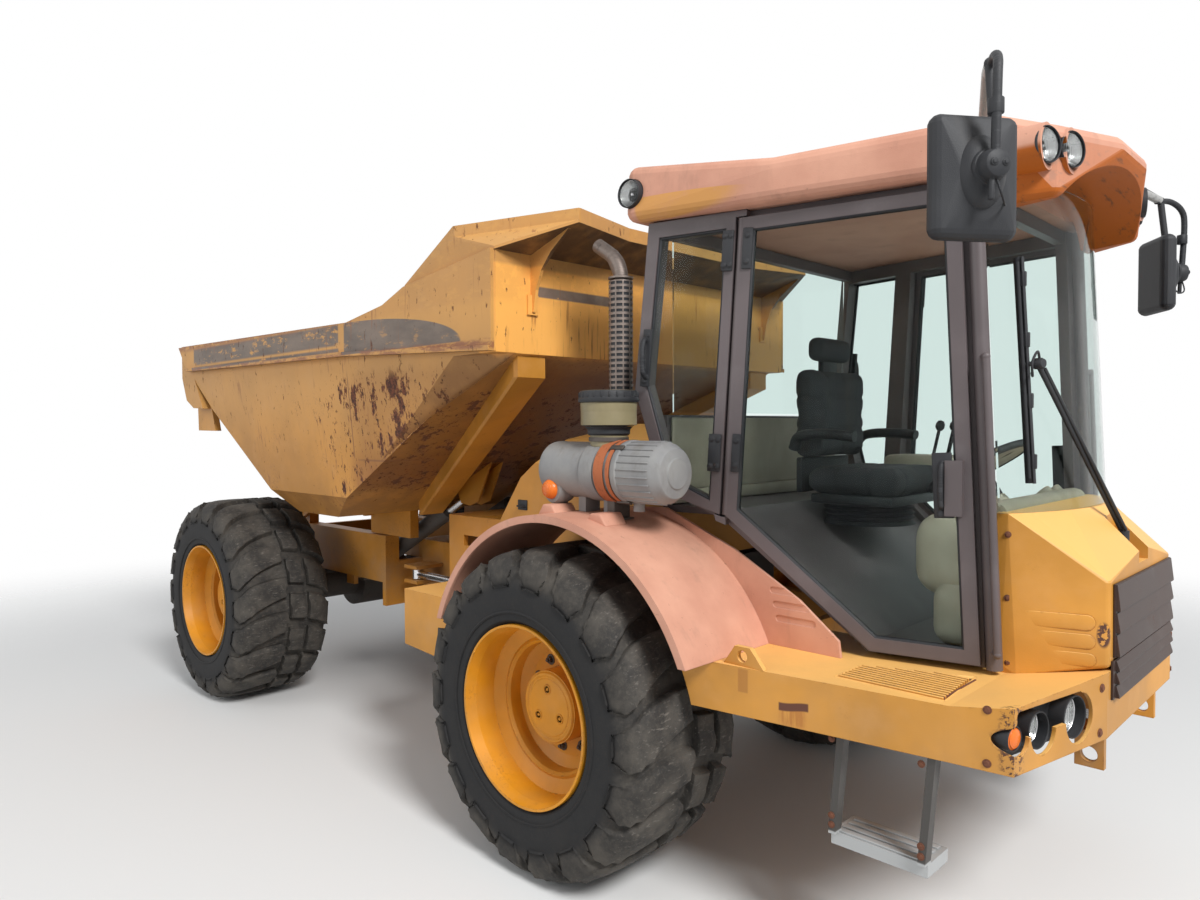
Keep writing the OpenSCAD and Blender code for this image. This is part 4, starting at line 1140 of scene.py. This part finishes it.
set_piece("exhaust_guard", slotted_tube(50, 450, 20, 10).at(107, -790, 1880), exhaust_steel)
# a black sleeve just inside the guard, painted shadow behind the slots
sleeve = ring(45.2, 46.2, 0, 446, 48)
set_piece("exhaust_shadow", sleeve.at(107, -790, 1882), black_plastic)
bend = ((107, 2325), (106, 2362), (88, 2408), (50, 2446), (-22, 2494))
outlet = pipe(smooth_path([(x, -790, z) for x, z in bend], 10), 30, 28)
set_piece("exhaust_tip", outlet, exhaust_steel)
collars = Shape()
for z in (1872, 2338):
    collars.take(ring(30, 52, 0, 8, 40), place=shift(spot(107, -790, z)))
set_piece("exhaust_collars", collars, exhaust_steel)
print("guard set")

# %% [markdown]
# ## Lamps
# Each headlamp is a black cup with a silvered dish in it, a small bulb and a ribbed clear
# glass. The outer one of the three is an amber indicator. The lamps on the roof are built
# the same way, and the headlamps stand back in their cups.

# %% Cup, dish and glass of a lamp
def lamp_cup(radius, depth):
    outer = [(0, -depth - 8), (radius * 0.8, -depth - 8), (radius, -depth + 6), (radius, -2)]
    inner = [(radius - 2, 0), (radius - 4, -2), (radius - 5, -depth + 8), (0, -depth + 4)]
    return turned(outer + inner, 56)


def lamp_dish(radius):
    bowl = [(radius * k / 8, -44 + 34 * (k / 8) ** 2) for k in range(9)]
    back = [(r, h - 1.6) for r, h in reversed(bowl)]
    bulb = turned([(0, -20), (5, -22), (7, -28), (7, -42), (0, -42)], 20)
    return turned(bowl + back, 56).take(bulb)


def lamp_glass(radius):
    dome = [(radius * k / 10, -6 - 8 * (k / 10) ** 2) for k in range(11)]
    inside = [(r, h - 3) for r, h in reversed(dome)]
    glass = turned(dome + inside, 56)
    for k in range(-4, 5):
        high = 1.7 * math.sqrt(radius ** 2 - (k * radius / 5) ** 2)
        glass.take(brick(2.4, high, 2.4, 0.6, 1), place=shift(mm(k * radius / 5, 0, -16)))
    return glass


SWEEP = math.radians(11.6)  # the bumper's front is swept back by this much
ahead = (math.cos(SWEEP), -math.sin(SWEEP), 0)
cups, dishes, glasses = Shape(), Shape(), Shape()
for x, y, r in ((1703, -900, 36), (1729, -782, 54), (1769, -590, 64)):
    cups.take(lamp_cup(r, 74).at(x - 10, y, 868, ahead))
    if r > 40:
        dishes.take(lamp_dish(r - 6).at(x - 30, y + 4, 868, ahead))
        glasses.take(lamp_glass(r - 4).at(x - 30, y + 4, 868, ahead))
indicator = turned([(0, 4), (18, 3), (33, -5), (38, -14), (38, -30), (0, -30)], 48)
# fine rings are moulded into the plastic lens
indicator.take(*(ring(r, r + 2, 5 - r * 0.2, -24, 48) for r in (10, 18, 25)))
set_pair("headlamp_indicator", indicator.at(1692, -895, 868, ahead), amber)
print("headlamps made")

# %% Lamps of the roof and the dark box behind the headlamps
# two lamps turned outward at the front, one facing right at the back
ROOF_LAMPS = ((1604, -541, 2580, (0.94, -0.34, 0), 62), (1640, -428, 2582, (0.94, -0.34, 0), 62),
              (236, -846, 2646, (0, -1, 0), 40))
for x, y, z, face, front in ROOF_LAMPS:
    x, y = x + face[0] * front, y + face[1] * front
    cups.take(lamp_cup(56, 40).at(x, y, z, face))
    dishes.take(lamp_dish(50).at(x, y, z, face))
    glasses.take(lamp_glass(52).at(x + face[0] * 6, y + face[1] * 6, z, face))
dark_box = slab([(-222, -74), (196, -74), (196, 74), (-222, 74)], 4)
stand = Matrix(((ahead[1], -ahead[0], 0), (0, 0, 1), ahead)).transposed().to_4x4()
cups.take(dark_box, place=shift(spot(1674, -730, 866)) @ stand)
housing = set_pair("lamp_housings", cups, black_plastic)
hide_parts("lamps")
set_pair("lamp_dishes", dishes, silver)
set_pair("lamp_glasses", glasses, lens)
print("roof lamps set")

# %% Corner lamp on the wheel arch
CORNER = (-46, -1040, 1482, (-0.10, -1, 0))
orange_lens = turned([(0, 34), (16, 33), (30, 27), (38, 16), (41, 4), (41, 0), (0, 0)], 40)
for r in (12, 20, 28):
    crest = 35 - r * r * 0.010
    orange_lens.take(ring(r, r + 2.5, crest - 4, crest, 40))
set_pair("side_indicator", orange_lens.at(*CORNER), amber)
holder = turned([(0, 2), (40, 2), (56, -2), (62, -14), (62, -60), (52, -84), (30, -98),
                 (0, -100)], 48)
holder.at(*CORNER).take(block((-80, -1010, 1384), (-30, -960, 1450), 8))
set_pair("side_indicator_holder", holder, grey_plastic)
print("side indicators set")

# %% [markdown]
# ## Cowl, bumper and deck
# The sides of the cowl carry three pressed flutes and a column of bolts. The deck has an
# open grating with rusted crossings over a dark plate that is painted shade, and the bumper
# is held by bolts whose heads show beside the lamps.

# %% Flutes and bolts of the cowl
def plane_place(start, end, x, z, out=0.0):
    """Matrix that stands a flat shape on the upright plane through two plan points."""
    run = (Vector(end) - Vector(start)).normalized()
    y = start[1] + (x - start[0]) * run.y / run.x
    axes = Matrix(((run.x, run.y, 0), (0, 0, 1), (run.y, -run.x, 0))).transposed().to_4x4()
    return shift(spot(x + run.y * out, y - run.x * out, z)) @ axes


def stadium(length, height, steps=10):
    r = height / 2
    ends = []
    for side in (1, -1):
        for i in range(steps + 1):
            angle = math.pi * (i / steps - 0.5)
            ends.append((side * (length / 2 - r + r * math.cos(angle)), side * r * math.sin(angle)))
    return ends


# plan points of the upright planes: cowl side, bumper front, bumper side
COWL = ((1521, -505), (1791, -415))
BUMPER = ((1700, -930), (1803, -430))
FLANK = ((1520, -950), (1700, -930))
flutes = Shape()
for x0, x1, z0, z1 in ((1547, 1767, 1096, 1145), (1554, 1768, 1038, 1085), (1564, 1770, 983, 1026)):
    pad = slab(stadium((x1 - x0) * 1.054, z1 - z0), 3.5, 2.6, 3)
    flutes.take(pad, place=plane_place(*COWL, (x0 + x1) / 2, (z0 + z1) / 2, -0.2))
set_pair("cowl_flutes", flutes, yellow)
bolts = Shape()
for plane, x, z, size in ((COWL, 1533, 1383, (7, 5)), (COWL, 1533, 1179, (7, 5)),
                          (COWL, 1536, 969, (7, 5)), (BUMPER, 1796, 935, (9, 6)),
                          (BUMPER, 1794, 800, (9, 6)), (FLANK, 1632, 945, (8, 5)),
                          (FLANK, 1632, 795, (8, 5))):
    bolts.take(bolt_head(*size, 1.5), place=plane_place(*plane, x, z))
set_pair("cowl_bolts", bolts, bolt_rust)
print("cowl set")

# %% Grating of the deck
SLANT = 130 / 326
grating, crossings = Shape(), Shape()
for y in range(-902, -640, 22):
    start = 1160 if y < -742 else 1160 + (y + 742) / SLANT
    grating.take(block((start, y - 4.5, 926), (1496 - (y + 913) * 0.083, y + 4.5, 941), 1.5, 1))
for x in range(1186, 1500, 38):
    limit = min(-742 + (x - 1152) * SLANT, -640)
    crossings.take(block((x - 3, -906, 926), (x + 3, limit - 6, 938), 1, 1))
outline = [(1152, -742), (1152, -913), (1503, -913), (1478, -612)]
for a, b in zip(outline, outline[1:] + outline[:1]):
    grating.take(pipe([spot(*a, 929), spot(*b, 929)], 10, 4, 0.8))
grating_piece = set_pair("deck_grating", grating, yellow)
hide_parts("deck_treads")
set_pair("deck_crossings", crossings, bolt_rust)
# a dark plate under the grating, painted shade in the recess of the deck
shade_plate = Shape().take(slab(outline[::-1], 3), place=shift(spot(0, 0, 927.5)))
set_pair("deck_shade_plate", shade_plate, grille_brown)
print("grating faces", len(grating_piece.data.polygons))

# %% Step boards
boards, step_bolts = Shape(), Shape()
for k in range(4):
    boards.take(block((1166, -918 + k * 35, 440), (1444, -893 + k * 35, 446), 2, 2))
for x in (1160, 1450):
    for z in (470, 500, 745):
        step_bolts.take(bolt_head(7, 5).at(x, -946, z, (0, -1, 0)))
set_pair("step_bolts", step_bolts, bolt_rust)
set_pair("step_boards", boards, step_metal)
print("step boards set")

# %% [markdown]
# ## Cab inside
# Through the glass one sees a dark cloth seat, a steering wheel, levers and a pale moulded
# dash. The three cushions are inflated by a short cloth simulation from slightly smaller
# blocks, and the sewn channels are pressed in afterwards.

# %% Padded cushion
def inflate(made, cap):
    """Swells a closed mesh as cloth, no point moving more than cap metres."""
    scene = bpy.context.scene
    cloth = made.modifiers.new("cloth", "CLOTH")
    cloth.settings.use_pressure = True
    cloth.settings.uniform_pressure_force = 4.0
    cloth.settings.effector_weights.gravity = 0.0
    cloth.point_cache.frame_start, cloth.point_cache.frame_end = 1, 20
    for frame_number in range(1, 21):
        scene.frame_set(frame_number)
    swollen = made.evaluated_get(bpy.context.evaluated_depsgraph_get()).to_mesh()
    moved = [v.co.copy() for v in swollen.vertices]
    made.modifiers.clear()
    scene.frame_set(1)
    for v, goal in zip(made.data.vertices, moved):
        step = goal - v.co
        v.co = v.co + step * min(1.0, cap / max(step.length, 1e-9))


def cushion(name, low, high, seams):
    """A cushion between two places; seams are (axis, place in metres) of the sewn channels."""
    core = block([c + 9 for c in low], [c - 9 for c in high], 34, 4)
    made = set_piece(name, core, seat_cloth, sharp=180)
    grid = made.modifiers.new("grid", "REMESH")
    grid.mode, grid.voxel_size = "VOXEL", 0.008
    evaluated = made.evaluated_get(bpy.context.evaluated_depsgraph_get())
    fine = bpy.data.meshes.new_from_object(evaluated)
    made.modifiers.clear()
    old, made.data = made.data, fine
    bpy.data.meshes.remove(old)
    inflate(made, 0.016)
    middle = (spot(*low) + spot(*high)) / 2
    for v in made.data.vertices:
        for axis, place in seams:
            pinch = math.exp(-((v.co[axis] - place) / 0.010) ** 2)
            v.co += (middle - v.co).normalized() * 0.008 * pinch
    made.data.polygons.foreach_set("use_smooth", [True] * len(made.data.polygons))


sides = [(1, -0.13), (1, 0.13)]
base_seams = sides + [(0, at_x(760)), (0, at_x(900))]
back_seams = sides + [(2, at_z(1720)), (2, at_z(1860))]
cushion("seat_cushion", (612, -245, 1456), (1050, 245, 1560), base_seams)
cushion("seat_backrest", (562, -235, 1580), (676, 235, 1990), back_seams)
cushion("seat_headrest", (570, -150, 2000), (660, 150, 2120), [])
print("cushions set")

# %% Seat carrier and steering wheel
carrier = block((640, -200, 1412), (1000, 200, 1452), 8)
carrier.take(block((570, -200, 1452), (600, 200, 1600), 8))
carrier.take(block((590, -60, 1900), (620, 60, 2050), 8))
folds = [(186 - 16 * (k % 2), 6 + 10 * k) for k in range(9)]
bellows = turned([(190, 0)] + folds + [(180, 96), (0, 96), (0, 0), (190, 0)], 40)
carrier.take(bellows.at(800, 0, 1326))
for side in (1, -1):
    rest = ((600, 262, 1640), (640, 278, 1690), (760, 280, 1700), (880, 276, 1690))
    carrier.take(curve([(x, y * side, z) for x, y, z in rest], 26, 16, 0.8))
carrier_piece = set_piece("seat_carrier", carrier, black_plastic)
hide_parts("seat")
wheel = Shape()
section = [math.tau * k / 16 for k in range(17)]
wheel.take(turned([(190 + 14 * math.cos(a), 14 * math.sin(a)) for a in section], 64))
wheel.take(turned([(0, 12), (38, 10), (48, 2), (48, -16), (0, -20)], 40))
for angle in (90, 210, 330):
    far = turn(angle) @ Vector((1, 0, 0))
    wheel.take(pipe([far * 0.04, far * 0.12 - mm(0, 0, 6), far * 0.186], 14, 10, 0.5))
wheel.take(turned([(0, -20), (26, -20), (30, -40), (30, -130), (0, -130)], 32))
set_piece("steering_wheel", wheel.at(1250, 0, 1572, (-0.5, 0, 0.866)), black_plastic)
print("seat carrier and steering wheel set")

# %% Dash, levers and pedals
dash = pipe([spot(1462, y, 1446) for y in range(-440, 441, 80)], 46, 20, 0.7)
dash.take(pipe([spot(1400, y, 1380) for y in range(-300, 301, 60)], 60, 20, 0.7))
for y in (-360, -240, 240, 360):
    vent = turned([(0, 4), (30, 4), (34, 0), (34, -30), (0, -30)], 32)
    dash.take(vent.at(1405, y, 1470, (-0.7, 0, 0.7)))
for low, high, *soft in (
        ((262, -670, 1416), (300, 670, 1470), 10), ((262, -660, 1470), (276, 660, 1770), 8),
        ((700, 320, 1416), (1010, 520, 1600), 30, 4),
        ((1170, -440, 1130), (1455, 440, 1425), 95, 6),
        ((1260, -470, 975), (1462, 470, 1190), 60, 5)):
    dash.take(block(low, high, *soft))
set_piece("cab_trim", dash, beige_trim)
levers = Shape()
for x, y in ((900, 380), (950, 420), (930, 460)):
    levers.take(rod((x, y, 1540), (x + 40, y, 1720), 7, 14))
    knob = turned([(0, 30), (12, 26), (19, 12), (19, -4), (12, -16), (0, -18)], 28)
    levers.take(knob.at(x + 42, y, 1726, (0.2, 0, 1)))
for y in (-150, 150):
    levers.take(block((1290, y - 40, 1010), (1306, y + 40, 1120), 4))
    levers.take(rod((1300, y, 1050), (1380, y, 1180), 9, 12))
set_piece("levers_and_pedals", levers, black_plastic)
print("cab inside set")

# %% [markdown]
# ## Last fittings
# Two moulded bosses carry the intake and the corner lamp on each wheel arch. The wiper gets
# its blade, the hood a latch, and each mirror the galvanised arm, the tube and the clamp
# that hold it out in front of the door.

# %% Arch bosses, wiper and latches
bosses = Shape()
for x, z in ((-20, 1377.88), (250, 1359.25)):
    boss = slab([(-58, 0), (58, 0), (26, 46), (-26, 46)], 120, 7, 3)
    bosses.take(boss.at(x, -1090, z, (0, 1, 0)))
set_pair("arch_bosses", bosses, arch_pink)
low, high = Vector((1573, -425, 1560)), Vector((1532, -436, 2260))
blade = Shape()
for out, wide, flat in ((14, 9, 5 / 9), (-2, 4, 3)):
    ends = [spot(low.x + out, low.y, low.z - 15), spot(high.x + out, high.y, high.z + 15)]
    blade.take(pipe(ends, wide, 8, flat))
for share in (0.08, 0.36, 0.64, 0.92):
    x, y, z = low.lerp(high, share)
    blade.take(block((x + 4, y - 7, z - 24), (x + 24, y + 7, z + 24), 3))
joint = turned([(0, 16), (14, 14), (18, 6), (18, -16), (0, -18)], 32)
blade.take(joint.at(1600, -428, 1930, (0.95, -0.3, 0)))
blade.take(rod((1752, -14, 1372), (1606, -400, 1915), 6, 14))
hose = [(1600, -430, 1945), (1606, -470, 1965), (1600, -500, 1930), (1592, -470, 1890),
        (1580, -440, 1900)]
set_piece("wiper_blade", blade.take(curve(hose, 4, 8)), black_plastic)
latch = block((-757, -626, 1320), (-689, -616, 1370), 3)
bow = [(-745, -624, 1338), (-740, -642, 1340), (-706, -642, 1340), (-700, -624, 1338)]
latch.take(curve(bow, 5, 10))
set_pair("hood_latches", latch, black_plastic)
print("arch bosses, wiper and latches set")

# %% Mirror arms and clamps
MIRROR = Vector((1620, -1045, 2395))
outward = turn(-36) @ Vector((1, 0, 0))
across = Vector((outward.y, -outward.x, 0))


def off_mirror(shape, out, up=0.0, aside=0.0):
    place = MIRROR + outward * out + across * aside
    return shape.at(place.x, place.y, place.z + up, outward)


bulge = turned([(0, 52), (24, 50), (46, 42), (62, 28), (70, 10), (71, -6), (0, -6)], 56)
hold = off_mirror(bulge.move(Matrix.Scale(1.42, 4, (0, 1, 0))), 26, -4)
socket = turned([(0, 34), (22, 34), (34, 28), (40, 14), (40, -10), (36, -22), (0, -22)], 48)
washer = turned([(0, 8), (30, 8), (44, 4), (47, -4), (0, -4)], 48)
hold.take(off_mirror(socket, 84), off_mirror(washer, 74))
for side in (-16, 16):
    hold.take(off_mirror(bolt_head(6, 5), 118, aside=side))
x, y, z = MIRROR + outward * 98
tube = [(1630, -958, 2692), (1668, -1030, 2696), (1698, -1088, 2664), (x + 6, y - 8, 2600),
        (x, y, z + 10)]
hold.take(pipe(smooth_path(tube, 6), 12, 16), rod((x, y, 2560), (x, y, 2520), 20, 24, 3))
wire = [(x, y, 2370), (1712, -1092, 2318), (1702, -1040, 2302), (1676, -985, 2336)]
hold.take(curve(wire, 3, 8), rod((x - 6, y - 4, 2366), (x - 8, y - 6, 2306), 8, 16, 2))
set_pair("mirror_clamps", hold, black_plastic)
arm = pipe([spot(1478, -590, 2648), spot(1590, -860, 2725), spot(1638, -975, 2698)], 17, 16)
set_pair("mirror_arms", arm, arm_grey)
print("mirror arms set")
